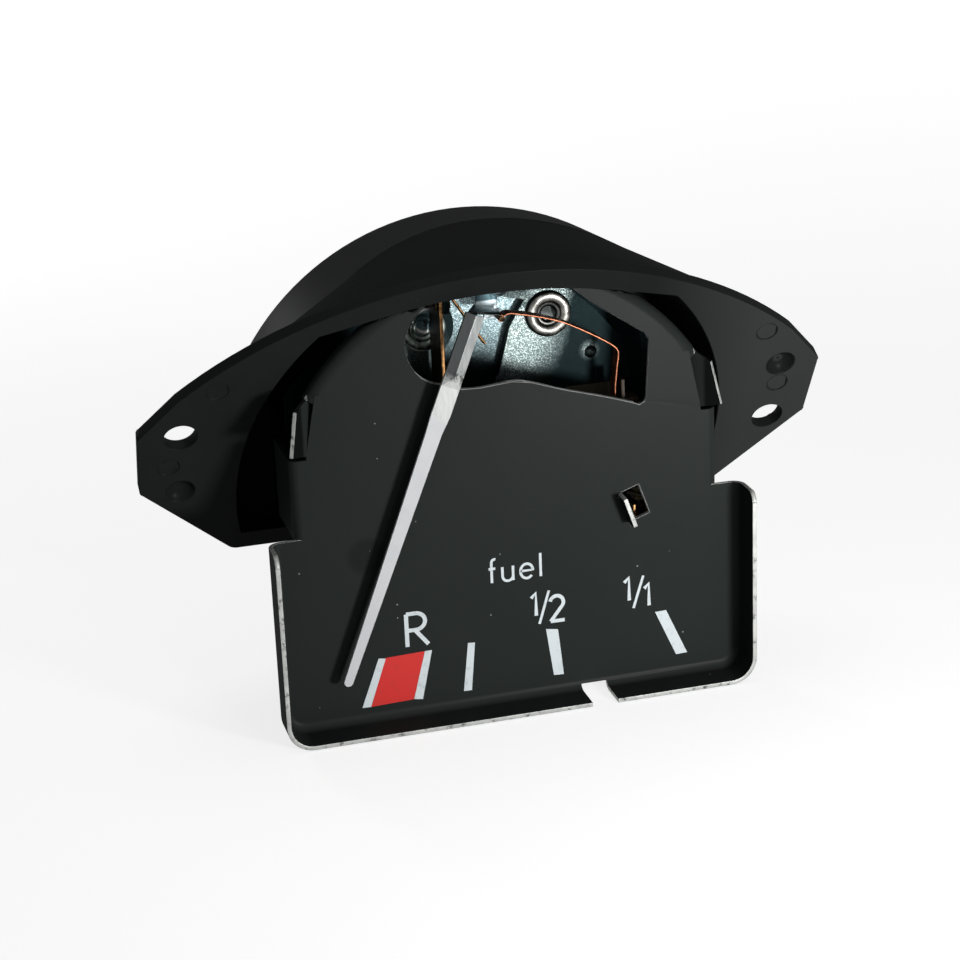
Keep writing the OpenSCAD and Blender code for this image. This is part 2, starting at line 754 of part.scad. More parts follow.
// The compensating leg of the bimetal U and its foot, with the clip for the heated leg.
module compensating_leg() {
  clip_top = 20.9;
  bend_r = 1.4;
  color("#a9603a") place() difference() {
    union() {
      translate([strip_left, strip_y, strip_foot + bend_r])
        cube([strip_t, strip_w, strip_top - strip_foot - bend_r]);
      translate([strip_left + bend_r, strip_y, strip_foot + bend_r]) bent_strip(bend_r, 180, 270);
      translate([strip_left + bend_r, strip_y, strip_foot])
        cube([flex_x - strip_left - bend_r, strip_w, strip_t]);
      // The clip, a narrow U that stands on the end of the foot.
      translate([flex_x, strip_y, flex_z]) bent_strip(fold_r, 180, 360);
      for (x = [flex_x - fold_r, flex_x + fold_r - strip_t]) {
        translate([x, strip_y, flex_z]) cube([strip_t, strip_w, clip_top - flex_z]);
      }
    }
    lug_rivet_bores();
    foot_rivet_bores(0.45);
  }
}

// Bores across the lug and the top of the compensating leg.
module lug_rivet_bores() {
  for (y = lug_rivet_y) {
    translate([strip_left - 1, y, lug_rivet_z]) rotate([0, 90, 0]) cylinder(h = 4, r = 0.4);
  }
}

// Bores across the clip for the foot rivets.
module foot_rivet_bores(r) {
  for (y = [hot_y + 0.9, hot_y + hot_w - 0.9]) {
    translate([hot_x - 3, y, foot_rivet_z]) rotate([0, 90, 0]) cylinder(h = 6, r = r);
  }
}

// Rivets through the compensating leg and the zero arm's lug.
module lug_rivets() {
  stack = strip_t + arm_t;
  color("#c9b98c") place() for (y = lug_rivet_y) {
    translate([strip_left - 0.25, y, lug_rivet_z]) rotate([0, 90, 0]) {
      cylinder(h = stack + 0.5, r = 0.4);
      cylinder(h = 0.25, r = 0.7);
      translate([0, 0, stack + 0.25]) cylinder(h = 0.25, r = 0.7);
    }
  }
}

// Rivets through the clip at the foot of the heated leg.
module foot_rivets() {
  left = flex_x - fold_r;
  right = flex_x + fold_r;
  color("#c9b98c") place() for (y = [hot_y + 0.9, hot_y + hot_w - 0.9]) {
    translate([left - 0.25, y, foot_rivet_z]) rotate([0, 90, 0]) {
      cylinder(h = right - left + 0.5, r = 0.45);
      cylinder(h = 0.25, r = 0.75);
      translate([0, 0, right - left + 0.25]) cylinder(h = 0.25, r = 0.75);
    }
  }
}

// The heated leg of the bimetal, which bends and pulls the link. Its top is set over
// to the left, where the link comes down.
module heated_leg() {
  tongue_w = 2.2;
  wide_top = 32.8;
  color("#a45c38") place() difference() {
    union() {
      translate([hot_x, hot_y, flex_z]) cube([strip_t, hot_w, wide_top - flex_z]);
      // The rounded foot, on whose middle line the leg bends.
      bar([flex_x, flex_z], hot_y, hot_w, strip_t / 2);
      translate([tongue_x, leaf_y - 0.2, wide_top]) cube([hot_x + strip_t - tongue_x, tongue_w, strip_t]);
      translate([tongue_x, leaf_y - 0.2, wide_top]) cube([strip_t, tongue_w, hot_top - wide_top]);
    }
    foot_rivet_bores(0.8);
  }
}

// Lowest point of the glass tape, its height and its outer half sizes.
tape_z = 21.3;
tape_h = turns * wire_pitch + 0.9;
tape_x = hot_x + strip_t / 2;
tape_half_x = strip_t / 2 + tape_t;
tape_half_y = hot_w / 2 + tape_t;
tape_y = hot_y + hot_w / 2;

// Glass tape wrapped round the heated leg under the winding.
module heater_insulation() {
  color("#9a8a5c") place() difference() {
    translate([tape_x, tape_y, tape_z]) linear_extrude(tape_h)
      rounded([[-tape_half_x, -tape_half_y], [tape_half_x, -tape_half_y], [tape_half_x, tape_half_y],
        [-tape_half_x, tape_half_y]], [for (k = [0:3]) tape_half_x - 0.01]);
    translate([hot_x, hot_y, tape_z - 1]) cube([strip_t, hot_w, tape_h + 2]);
  }
}

// Distance round the winding's path, a stadium whose ends are half circles.
wire_r = wire_d / 2;
turn_half = tape_half_x + wire_r + 0.02;
turn_run = 2 * (tape_half_y - tape_half_x);
turn_length = 2 * turn_run + 2 * PI * turn_half;

// Point on the stadium at the distance s round it, starting at the right rear.
function on_turn(s) =
  s < turn_run ? [turn_half, turn_run / 2 - s] :
  s < turn_run + PI * turn_half ?
    let (a = (s - turn_run) / turn_half * 180 / PI)
    [turn_half * cos(a), -turn_run / 2 - turn_half * sin(a)] :
  s < 2 * turn_run + PI * turn_half ? [-turn_half, -turn_run / 2 + (s - turn_run - PI * turn_half)] :
  let (a = (s - 2 * turn_run - PI * turn_half) / turn_half * 180 / PI)
    [-turn_half * cos(a), turn_run / 2 + turn_half * sin(a)];

// Points per turn, more of them on the two rounded ends than on the straight runs.
ring_count = 24;
straight_share = 6;
function ring_distance(k) =
  let (end_share = ring_count / 2 - straight_share, h = k % (ring_count / 2))
  let (back = k >= ring_count / 2 ? turn_length / 2 : 0)
  back + (h < straight_share ? turn_run * h / straight_share
    : turn_run + PI * turn_half * (h - straight_share) / end_share);

winding_z = tape_z + 0.45;
wire_points = [for (i = [0:turns * ring_count])
  let (k = i % ring_count, s = ring_distance(k), p = on_turn(s))
  [tape_x + p[0], tape_y + p[1], winding_z + wire_pitch * (floor(i / ring_count) + s / turn_length)]];

// Least distance between points of neighbouring turns, less the wire itself.
wire_gap = min([for (i = [0:ring_count]) for (k = [ring_count / 2:len(wire_points) - 1 - i])
  if (k > ring_count / 2 && k < 2 * ring_count) norm(wire_points[i + k] - wire_points[i])]) - wire_d;
echo(least_gap_between_turns = wire_gap);

// A tube along a path, with the given number of sides.
module tube(path, r, sides) {
  count = len(path);
  function ring(i) =
    let (d = unit(path[min(i + 1, count - 1)] - path[max(i - 1, 0)]))
    let (u = unit(cross(d, [0, 0, 1])), v = cross(u, d))
    [for (k = [0:sides - 1]) path[i] + r * (u * cos(360 / sides * k) + v * sin(360 / sides * k))];
  points = [for (i = [0:count - 1]) each ring(i)];
  walls = [for (i = [0:count - 2]) for (k = [0:sides - 1])
    let (a = i * sides + k, b = i * sides + (k + 1) % sides)
    each [[a, b, b + sides], [a, b + sides, a + sides]]];
  last = (count - 1) * sides;
  caps = [for (k = [1:sides - 2]) each [[0, k + 1, k], [last, last + k, last + k + 1]]];
  polyhedron(points = points, faces = concat(walls, caps));
}

// The heating wire, one unbroken tube round the leg.
module heater_winding() {
  color("#8a6a2e") place() tube(wire_points, wire_r, 6);
}

// Where the leads' front ends meet the terminals' lugs.
lead_end = lug_front - 0.05;

// Points of the covered leads from the terminals' inner ends to the foot of the U.
supply_route = [[-blade_x, lead_end, 35], [-blade_x, lead_end - 1, 34.9], [-blade_x - 0.6, 12, 31.5],
  [-5.5, 11.4, 26.5], [-2.4, 10.6, 24.8], [-2, 9, 24.6], [-1.4, 7.6, 22.5], [1, 7.3, 21],
  [6, 7.4, 20.6], [9.6, 7.3, 20.8]];
sender_route = [[blade_x, lead_end, 35], [blade_x, lead_end - 1, 34.9], [blade_x + 0.2, 12, 31.5],
  [5.5, 11.4, 27],
  [2.6, 10.6, 24.8], [2.2, 9, 24.4], [1.6, 7.7, 22.3], [2, 6.2, 20.6], [1.2, 4.4, 19.9]];

// The two fixed leads.
module heater_leads() {
  color("#6d2f22") place() {
    tube(curve(supply_route, 3), 0.45, 10);
    tube(curve(sender_route, 3), 0.45, 10);
  }
}

// One flat terminal: blade with its hole and bevelled end, and the inner lug.
module terminal() {
  out = drum_back + blade_out;
  difference() {
    union() {
      translate([-blade_t / 2, lug_front, -2]) cube([blade_t, inner_back - lug_front, 4]);
      translate([-blade_t / 2, 0, 0]) rotate([90, 0, 90]) linear_extrude(blade_t)
        rounded([[inner_back - 0.5, -blade_w / 2], [out, -blade_w / 2], [out, blade_w / 2],
          [inner_back - 0.5, blade_w / 2]], [0, 1.1, 1.1, 0]);
    }
    translate([-2, out - 4, 0]) rotate([0, 90, 0]) cylinder(h = 4, r = 0.85);
    translate([-2, lug_front + 1.3, 0]) rotate([0, 90, 0]) cylinder(h = 4, r = 0.6);
  }
}

// The terminal that takes the supply.
module supply_terminal() {
  color("#b59a55") place() translate([-blade_x, 0, blade_z]) terminal();
}

// The terminal that goes to the sender in the tank.
module sender_terminal() {
  color("#b59a55") place() translate([blade_x, 0, blade_z]) terminal();
}

// Insulating collars round the terminals, inside and out.
module terminal_collars() {
  color("#7a5230") place() both_hands() difference() {
    union() {
      translate([blade_x - 3, drum_back, blade_z - 5]) cube([6, 0.8, 10]);
      translate([blade_x - 3, inner_back - 0.8, blade_z - 5]) cube([6, 0.8, 10]);
    }
    translate([blade_x - blade_t / 2, inner_back - 2, blade_z - blade_w / 2]) cube([blade_t, 6, blade_w]);
  }
}

// A card of insulating fibre on the range arm, behind the heater.
module backing_card() {
  card_t = 0.15;
  color("#5d5126") place() translate([8.9, arm_y - card_t, 30.6]) cube([6, card_t, 3.2]);
}

housing();
dial_plate();
dial_screws();
movement_frame();
frame_screws();
frame_washers();
arm_eyelets();
spring_washers();
range_arm();
pivot_pin();
pointer();
pointer_hub();
link_pin();
link_leaf();
zero_arm();
compensating_leg();
lug_rivets();
foot_rivets();
heated_leg();
heater_insulation();
heater_winding();
heater_leads();
supply_terminal();
sender_terminal();
terminal_collars();
backing_card();
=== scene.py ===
import json
import math

import bmesh
import bpy
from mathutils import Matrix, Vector
from mathutils.bvhtree import BVHTree


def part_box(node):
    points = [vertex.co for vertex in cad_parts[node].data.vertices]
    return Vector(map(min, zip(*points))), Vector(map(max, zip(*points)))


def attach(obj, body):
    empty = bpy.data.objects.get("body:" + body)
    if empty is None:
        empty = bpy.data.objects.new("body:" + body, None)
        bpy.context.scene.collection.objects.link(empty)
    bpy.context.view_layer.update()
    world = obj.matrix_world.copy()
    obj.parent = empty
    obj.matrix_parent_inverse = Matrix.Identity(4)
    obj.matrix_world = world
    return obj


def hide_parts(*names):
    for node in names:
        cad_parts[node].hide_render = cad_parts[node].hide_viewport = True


# A heated-strip fuel gauge: black moulded housing, pressed dial, white pointer and a
# small bimetal movement seen through the dial's window.
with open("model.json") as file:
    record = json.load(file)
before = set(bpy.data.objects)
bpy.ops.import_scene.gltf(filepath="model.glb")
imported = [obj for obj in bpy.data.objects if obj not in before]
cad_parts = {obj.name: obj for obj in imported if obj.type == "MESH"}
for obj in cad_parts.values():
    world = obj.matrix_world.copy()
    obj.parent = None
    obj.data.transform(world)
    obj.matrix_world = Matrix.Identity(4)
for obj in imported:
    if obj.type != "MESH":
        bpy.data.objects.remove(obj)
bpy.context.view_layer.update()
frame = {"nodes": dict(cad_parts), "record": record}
record = frame["record"]
slotOf = {part["node"]: part["material_slot"] for part in record["subparts"]}
bodyOf = {node: body for body, nodes in record["behaviour"]["bodies"].items() for node in nodes}
mm = 0.001

# The dial's own zero: its printed face, its lowest edge and its middle line.
rimDepth = 4.3
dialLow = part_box("dial_plate")[0]
faceY = dialLow.y + rimDepth * mm
zeroZ = dialLow.z
print("frame loaded,", len(frame["nodes"]), "nodes")


def atDial(x, y, z):
    # Dial millimetres (right, away from the driver, up) to the frame's metres.
    return Vector((x * mm, faceY + y * mm, zeroZ + z * mm))


# Camera, light and floor

camera = {"place": (-0.06656, -0.24922, 0.08668), "turn": (70.161, 2.307, -15.583), "lens": 91.64}


def addCamera(c):
    data = bpy.data.cameras.new("photoCamera")
    data.lens = c["lens"]
    data.sensor_width = 36
    data.clip_start = 0.01
    made = bpy.data.objects.new("photoCamera", data)
    made.location = c["place"]
    made.rotation_euler = [math.radians(a) for a in c["turn"]]
    bpy.context.scene.collection.objects.link(made)
    bpy.context.scene.camera = made


addCamera(camera)

lamps = {
    "keyPanel": {"place": (0.055, -0.125, -0.008), "size": (0.022, 0.020), "power": 0.148},
    "frontStrip": {"place": (0.09, -0.40, 0.16), "size": (0.05, 0.03), "power": 0.12},
    "backStrip": {"place": (-0.18, 0.44, 0.09), "size": (0.10, 0.08), "power": 0.42},
    "topPanel": {"place": (-0.03, 0.10, 0.36), "size": (0.26, 0.20), "power": 0.20},
}
# The floor's glow rises from near to far, over the distances in liftRise, in metres.
studio = {"world": 0.13, "floorTone": 0.42, "liftNear": 0.78, "liftFar": 1.0, "liftRise": (0.12, 0.55),
          "floorHalf": 3.0, "floorDrop": 0.0001}


def addLamp(name, lamp):
    data = bpy.data.lights.new(name, "AREA")
    data.shape = "RECTANGLE"
    data.size, data.size_y = lamp["size"]
    data.energy = lamp["power"]
    made = bpy.data.objects.new(name, data)
    made.location = lamp["place"]
    made.rotation_euler = (-Vector(lamp["place"])).to_track_quat("-Z", "Y").to_euler()
    made.visible_camera = False
    bpy.context.scene.collection.objects.link(made)


for lampName, lampSizes in lamps.items():
    addLamp(lampName, lampSizes)


# Helpers for materials

def addNode(tree, kind, inputs=None, **settings):
    made = tree.nodes.new(kind)
    for key, value in settings.items():
        setattr(made, key, value)
    for key, value in (inputs or {}).items():
        if isinstance(value, bpy.types.NodeSocket):
            tree.links.new(value, made.inputs[key])
        else:
            made.inputs[key].default_value = value
    return made


def startMaterial(name, **plain):
    made = bpy.data.materials.new(name)
    made.use_nodes = True
    shader = made.node_tree.nodes["Principled BSDF"]
    for key, value in plain.items():
        shader.inputs[key.replace("_", " ")].default_value = value
    where = addNode(made.node_tree, "ShaderNodeTexCoord").outputs["Object"]
    return made, made.node_tree, shader, where


def noise(tree, where, scale, detail=2.0, rough=0.5, stretch=None):
    if stretch:
        where = addNode(tree, "ShaderNodeMapping", {"Vector": where, "Scale": stretch}).outputs[0]
    return addNode(tree, "ShaderNodeTexNoise",
                   {"Vector": where, "Scale": scale, "Detail": detail, "Roughness": rough}).outputs[0]


def spread(tree, value, low, high, start=0.0, end=1.0):
    return addNode(tree, "ShaderNodeMapRange", {"Value": value, "From Min": start, "From Max": end,
                                                "To Min": low, "To Max": high}).outputs[0]


def tint(tree, share, first, second):
    made = addNode(tree, "ShaderNodeMix", data_type="RGBA")
    for index, value in ((0, share), (6, first), (7, second)):
        if isinstance(value, bpy.types.NodeSocket):
            tree.links.new(value, made.inputs[index])
        elif index:
            made.inputs[index].default_value = (*value, 1)
        else:
            made.inputs[index].default_value = value
    return made.outputs[2]


def calc(tree, operation, first, second=0.0):
    return addNode(tree, "ShaderNodeMath", {0: first, 1: second}, operation=operation).outputs[0]


def product(tree, first, *others):
    for other in others:
        first = calc(tree, "MULTIPLY", first, other)
    return first


def distanceTo(tree, where, point):
    away = addNode(tree, "ShaderNodeVectorMath", {0: where, 1: point}, operation="DISTANCE")
    return away.outputs["Value"]


def measuredAlong(tree, where, origin, axis):
    # How far a point lies from the origin in the direction of the axis.
    flat = addNode(tree, "ShaderNodeVectorMath", {0: where, 1: origin}, operation="SUBTRACT").outputs[0]
    return addNode(tree, "ShaderNodeVectorMath", {0: flat, 1: axis}, operation="DOT_PRODUCT").outputs["Value"]


def relief(tree, shader, height, depth):
    made = addNode(tree, "ShaderNodeBump", {"Height": height, "Distance": depth})
    tree.links.new(made.outputs[0], shader.inputs["Normal"])


def join(tree, value, shader, socket):
    tree.links.new(value, shader.inputs[socket])


def mottledRoughness(tree, shader, blotch, low, high):
    join(tree, spread(tree, blotch, low, high, *usual), shader, "Roughness")


# Materials

def dustSpecks(tree, where, cells, size):
    # Small round specks in some of the cells, as the share of a lighter colour.
    dots = addNode(tree, "ShaderNodeTexVoronoi", {"Vector": where, "Scale": cells})
    picked = addNode(tree, "ShaderNodeSeparateColor", {0: dots.outputs["Color"]}).outputs[0]
    reach = spread(tree, picked, 0.0, size, 0.8, 1.0)
    return calc(tree, "LESS_THAN", dots.outputs["Distance"], reach)


def sheen(shader, weight, rough):
    # A thin gloss over a dull ground, so that black stays black at flat angles too.
    shader.inputs["Coat Weight"].default_value = weight
    shader.inputs["Coat Roughness"].default_value = rough


# Linear colours of the finishes that have several parts.
colours = {
    "mouldedDark": (0.0088, 0.0099, 0.0095), "mouldedLight": (0.0155, 0.0168, 0.0162),
    "earLitGrey": (0.036, 0.038, 0.037), "mouldedDust": (0.12, 0.12, 0.11),
    "dialDark": (0.0165, 0.0200, 0.0188), "dialLight": (0.0222, 0.0258, 0.0242),
    "faintMark": (0.008, 0.010, 0.010), "bentEarShade": (0.002, 0.0025, 0.0025),
    "dialDust": (0.30, 0.32, 0.30), "hubDark": (0.30, 0.36, 0.38), "hubLight": (0.56, 0.63, 0.65),
    "hubTongueShade": (0.03, 0.034, 0.034), "hubTop": (0.045, 0.075, 0.085),
    "rimShade": (0.022, 0.026, 0.026), "shadedDark": (0.07, 0.084, 0.078),
    "shadedLight": (0.26, 0.30, 0.27), "eyeletMouth": (0.12, 0.18, 0.20),
    "crescent": (0.62, 0.66, 0.64), "paintedEdge": (0.05, 0.055, 0.055),
    "steelDark": (0.24, 0.245, 0.235), "steelLight": (0.56, 0.57, 0.545),
    "neckDark": (0.38, 0.39, 0.38), "neckLight": (0.70, 0.71, 0.69),
    "headDark": (0.20, 0.215, 0.215), "headLight": (0.58, 0.60, 0.59),
    "cheekShade": (0.055, 0.06, 0.06), "smudge": (0.05, 0.05, 0.05), "whiteDark": (0.54, 0.56, 0.58),
    "whiteLight": (0.66, 0.67, 0.68), "tapeDark": (0.05, 0.038, 0.018),
    "tapeLight": (0.20, 0.16, 0.09),
}
# The middle share of a noise, between its rare lows and highs.
usual = (0.3, 0.7)

# Where the black parts change their tone, in dial millimetres. The grey of the right ear and the
# dark of the bent ears are light and shade of the photo, painted here.
rightEar = {"across": (17, 31), "normal": (0, -0.87462, -0.48481), "facing": (0.93, 0.99)}
roundMark = {"at": (-16.3, 0, 19.9), "reach": (1.6, 2.4)}
bentEarShade = {"across": (20.0, 20.8), "forward": (0.5, 0.2), "height": (28.8, 29.4), "share": 0.85}


def mouldedBlack(ear):
    made, tree, shader, where = startMaterial("mouldedBlack", Specular_IOR_Level=0.0)
    broad = noise(tree, where, 70, 3)
    fine = noise(tree, where, 5200, 2)
    dust = dustSpecks(tree, where, 420, 0.035)
    base = tint(tree, broad, colours["mouldedDark"], colours["mouldedLight"])
    # The grey is painted light; it lies on the ear's flat face only, and its hollows stay black.
    beside = addNode(tree, "ShaderNodeSeparateXYZ", {0: where}).outputs[0]
    greyed = calc(tree, "ADD", spread(tree, beside, 0.0, 0.9, *[x * mm for x in ear["across"]]),
                  product(tree, broad, 0.2))
    way = addNode(tree, "ShaderNodeTexCoord").outputs["Normal"]
    facing = addNode(tree, "ShaderNodeVectorMath", {0: way, 1: ear["normal"]}, operation="DOT_PRODUCT")
    greyed = product(tree, greyed, spread(tree, facing.outputs["Value"], 0.0, 1.0, *ear["facing"]))
    base = tint(tree, greyed, base, colours["earLitGrey"])
    join(tree, tint(tree, product(tree, dust, 0.35), base, colours["mouldedDust"]), shader, "Base Color")
    mottledRoughness(tree, shader, broad, 0.55, 0.7)
    sheen(shader, 0.05, 0.34)
    relief(tree, shader, calc(tree, "ADD", product(tree, broad, 3.0), fine), 0.006 * mm)
    return made


def dialPaint(mark, ears):
    made, tree, shader, where = startMaterial("dialPaint", Specular_IOR_Level=0.0)
    broad = noise(tree, where, 55, 3)
    fine = noise(tree, where, 4200, 2)
    specks = dustSpecks(tree, where, 760, 0.085)
    base = tint(tree, broad, colours["dialDark"], colours["dialLight"])
    # A faint round mark on the left of the dial.
    away = distanceTo(tree, where, atDial(*mark["at"]))
    faint = spread(tree, away, 0.5, 0.0, *[reach * mm for reach in mark["reach"]])
    base = tint(tree, faint, base, colours["faintMark"])
    # The dark on the bent ears is painted shade.
    sides = addNode(tree, "ShaderNodeSeparateXYZ", {0: where}).outputs
    beside = spread(tree, calc(tree, "ABSOLUTE", sides[0]), 0.0, 1.0, *[x * mm for x in ears["across"]])
    forward = spread(tree, sides[1], 1.0, 0.0, *[faceY - y * mm for y in ears["forward"]])
    raised = spread(tree, sides[2], 0.0, 1.0, *[zeroZ + z * mm for z in ears["height"]])
    base = tint(tree, product(tree, beside, forward, raised, ears["share"]), base, colours["bentEarShade"])
    join(tree, tint(tree, product(tree, specks, 0.8), base, colours["dialDust"]), shader, "Base Color")
    mottledRoughness(tree, shader, broad, 0.6, 0.75)
    sheen(shader, 0.07, 0.38)
    relief(tree, shader, calc(tree, "ADD", product(tree, broad, 2.0), fine), 0.005 * mm)
    return made


# How far in millimetres the border of a place of painted light wanders to either side.
raggedness = 0.8


def plated(name, dark, light, glint, lightPools, shade, spot=None):
    # Passivated zinc: a fine crystal sparkle in the places of painted light, painted shade further out.
    made, tree, shader, where = startMaterial(name, Metallic=1.0)
    crystals = addNode(tree, "ShaderNodeTexVoronoi", {"Vector": where, "Scale": 12500.0}).outputs["Color"]
    tone = addNode(tree, "ShaderNodeSeparateColor", {0: crystals}).outputs[0]
    patchNoise = noise(tree, where, 420, 4, 0.65)
    litShare = None
    # Each pool of painted light has its middle, the radius where it is full and the radius where it has
    # faded, and its share.
    for middle, clear, dull, share in lightPools:
        away = distanceTo(tree, where, atDial(*middle))
        ragged = calc(tree, "ADD", away, product(tree, patchNoise, 2 * raggedness * mm))
        near = spread(tree, ragged, share, 0.0, (clear + raggedness) * mm, (dull + raggedness) * mm)
        litShare = near if litShare is None else calc(tree, "MAXIMUM", litShare, near)
    # Beyond this line the plate lies in the photo's shade, which is painted here.
    past = measuredAlong(tree, where, atDial(*shade["at"]), shade["way"])
    past = calc(tree, "ADD", past, product(tree, calc(tree, "SUBTRACT", patchNoise, 0.5), 1.5 * mm))
    litShare = product(tree, litShare, spread(tree, past, 1.0, 0.04, shade["from"] * mm, shade["to"] * mm))
    # The spot is a painted highlight on the dimple.
    if spot:
        away = distanceTo(tree, where, atDial(*spot["at"]))
        glow = spread(tree, away, 1.0, 0.0, 0.0, spot["reach"] * mm)
        litShare = calc(tree, "MAXIMUM", litShare, calc(tree, "POWER", glow, 1.6))
    # The crystal grain is the zinc's own; its brightness and sparkle come from the painted light.
    grainy = product(tree, litShare, spread(tree, tone, 0.55, 1.0))
    base = tint(tree, grainy, dark, light)
    bright = product(tree, spread(tree, tone, 0, 0.9, 0.66, 0.98), calc(tree, "POWER", litShare, 1.4))
    join(tree, tint(tree, bright, base, glint), shader, "Base Color")
    join(tree, spread(tree, tone, 0.50, 0.36), shader, "Roughness")
    relief(tree, shader, calc(tree, "ADD", tone, patchNoise), 0.003 * mm)
    return made


def hubFinish(front, arm):
    # Bare aluminium; the tongue in front is dark with painted shade, and all that is over the arm is dull.
    made, tree, shader, where = startMaterial("hubAluminium", Metallic=1.0, Roughness=0.42)
    parts = addNode(tree, "ShaderNodeSeparateXYZ", {0: where}).outputs
    blotch = noise(tree, where, 900, 4, 0.6)
    base = tint(tree, blotch, colours["hubDark"], colours["hubLight"])
    tongue = spread(tree, parts[1], 1.0, 0.0, *[faceY + y * mm for y in front])
    high = spread(tree, parts[2], 0.0, 1.0, *[zeroZ + z * mm for z in arm])
    base = tint(tree, tongue, base, colours["hubTongueShade"])
    base = tint(tree, high, base, colours["hubTop"])
    join(tree, base, shader, "Base Color")
    relief(tree, shader, blotch, 0.004 * mm)
    return made


def rolledRim(name, dark, light, centres, rim, crescent):
    # Bright rolled ring, with painted shade in its middle and in the groove round it.
    made, tree, shader, where = startMaterial(name, Metallic=1.0)
    nearest = None
    for centre in centres:
        away = distanceTo(tree, where, centre)
        nearest = away if nearest is None else calc(tree, "MINIMUM", nearest, away)
    blotch = noise(tree, where, 1500, 3, 0.6)
    inner = spread(tree, nearest, 1.0, 0.0, *[r * mm for r in rim["dome"]])
    outer = spread(tree, nearest, 0.0, 1.0, *[r * mm for r in rim["groove"]])
    base = tint(tree, spread(tree, blotch, 0, 1, *usual), dark, light)
    recessShade = calc(tree, "MAXIMUM", product(tree, inner, 0.95), outer)
    lit = tint(tree, recessShade, base, colours["rimShade"])
    # The left one is in painted shade, with a painted highlight in a crescent and in its mouth.
    left = calc(tree, "LESS_THAN", addNode(tree, "ShaderNodeSeparateXYZ", {0: where}).outputs[0], 0.0)
    away = distanceTo(tree, where, atDial(*crescent["at"]))
    off = calc(tree, "ABSOLUTE", calc(tree, "SUBTRACT", away, crescent["radius"] * mm))
    ring = spread(tree, off, 1.0, 0.0, *[width * mm for width in crescent["edge"]])
    shaded = tint(tree, spread(tree, blotch, 0, 1, *usual), colours["shadedDark"], colours["shadedLight"])
    mouth = calc(tree, "LESS_THAN", away, crescent["mouth"] * mm)
    shaded = tint(tree, mouth, shaded, colours["eyeletMouth"])
    shaded = tint(tree, ring, shaded, colours["crescent"])
    join(tree, tint(tree, left, lit, shaded), shader, "Base Color")
    mottledRoughness(tree, shader, blotch, 0.26, 0.40)
    relief(tree, shader, blotch, 0.004 * mm)
    return made


def cutEdge():
    # Sheared steel at the painted sheet's edges, here and there darkened by the paint.
    made, tree, shader, where = startMaterial("cutEdge", Specular_IOR_Level=0.3)
    broken = noise(tree, where, 1300, 4, 0.7)
    bare = spread(tree, broken, 0, 1, 0.30, 0.44)
    steel = tint(tree, noise(tree, where, 700, 3), colours["steelDark"], colours["steelLight"])
    join(tree, tint(tree, bare, colours["paintedEdge"], steel), shader, "Base Color")
    join(tree, product(tree, bare, 0.5), shader, "Metallic")
    join(tree, spread(tree, broken, 0.6, 0.42), shader, "Roughness")
    relief(tree, shader, broken, 0.015 * mm)
    return made


def pointerAxes(p):
    # Across the pointer and down along it.
    lean = math.radians(p["lean"])
    return Vector((math.cos(lean), 0, -math.sin(lean))), Vector((-math.sin(lean), 0, -math.cos(lean)))


def pointerFinish(p):
    # White paint on the blade and bare brushed metal on the folded head, its left side in painted shade.
    made, tree, shader, where = startMaterial("pointerFinish", Specular_IOR_Level=0.35)
    pivot = atDial(0, 0, p["pivotHeight"])
    across, down = [measuredAlong(tree, where, pivot, axis) for axis in pointerAxes(p)]
    ragged = noise(tree, where, 1000, 3, 0.6)
    slope = product(tree, calc(tree, "ADD", across, p["offset"] * mm), p["slant"])
    edge = calc(tree, "ADD", calc(tree, "ADD", down, slope), product(tree, ragged, 0.9 * mm))
    painted = spread(tree, edge, 0, 1, (p["paintFrom"] - 0.1) * mm, (p["paintFrom"] + 0.2) * mm)
    brushed = noise(tree, where, 2600, 3, 0.6, (1.0, 1.0, 0.16))
    cheekShade = spread(tree, across, 1.0, 0.0, (-p["offset"] - 0.06) * mm, (-p["offset"] + 0.06) * mm)
    onHead = spread(tree, down, 1.0, 0.0, (p["headEnd"] - 0.3) * mm, (p["headEnd"] + 0.6) * mm)
    nearEnd = calc(tree, "ABSOLUTE", calc(tree, "SUBTRACT", down, p["headEnd"] * mm))
    smudge = product(tree, spread(tree, noise(tree, where, 1700, 3, 0.7), 0, 1, 0.48, 0.60),
                     spread(tree, nearEnd, 0.9, 0.0, 0.3 * mm, 1.1 * mm))
    neck = tint(tree, brushed, colours["neckDark"], colours["neckLight"])
    head = tint(tree, brushed, colours["headDark"], colours["headLight"])
    bare = tint(tree, onHead, neck, head)
    # The left side of the head is painted shade.
    bare = tint(tree, product(tree, cheekShade, onHead, 0.94), bare, colours["cheekShade"])
    bare = tint(tree, smudge, bare, colours["smudge"])
    white = tint(tree, noise(tree, where, 420, 3), colours["whiteDark"], colours["whiteLight"])
    join(tree, tint(tree, painted, bare, white), shader, "Base Color")
    metallic = product(tree, spread(tree, painted, 0.85, 0.0), spread(tree, onHead, 0.12, 1.0))
    join(tree, metallic, shader, "Metallic")
    join(tree, spread(tree, painted, 0.34, 0.5), shader, "Roughness")
    relief(tree, shader, brushed, 0.006 * mm)
    return made


def metal(name, dark, light, rough, scale=700, level=1.0):
    made, tree, shader, where = startMaterial(name, Metallic=level)
    blotch = noise(tree, where, scale, 4, 0.6)
    join(tree, tint(tree, spread(tree, blotch, 0, 1, 0.32, 0.68), dark, light), shader, "Base Color")
    mottledRoughness(tree, shader, blotch, rough - 0.08, rough + 0.1)
    relief(tree, shader, blotch, 0.004 * mm)
    return made


def matt(name, dark, light, rough, scale=600):
    made, tree, shader, where = startMaterial(name, Specular_IOR_Level=0.35)
    blotch = noise(tree, where, scale, 4, 0.6)
    join(tree, tint(tree, blotch, dark, light), shader, "Base Color")
    mottledRoughness(tree, shader, blotch, rough - 0.06, rough + 0.08)
    relief(tree, shader, blotch, 0.01 * mm)
    return made


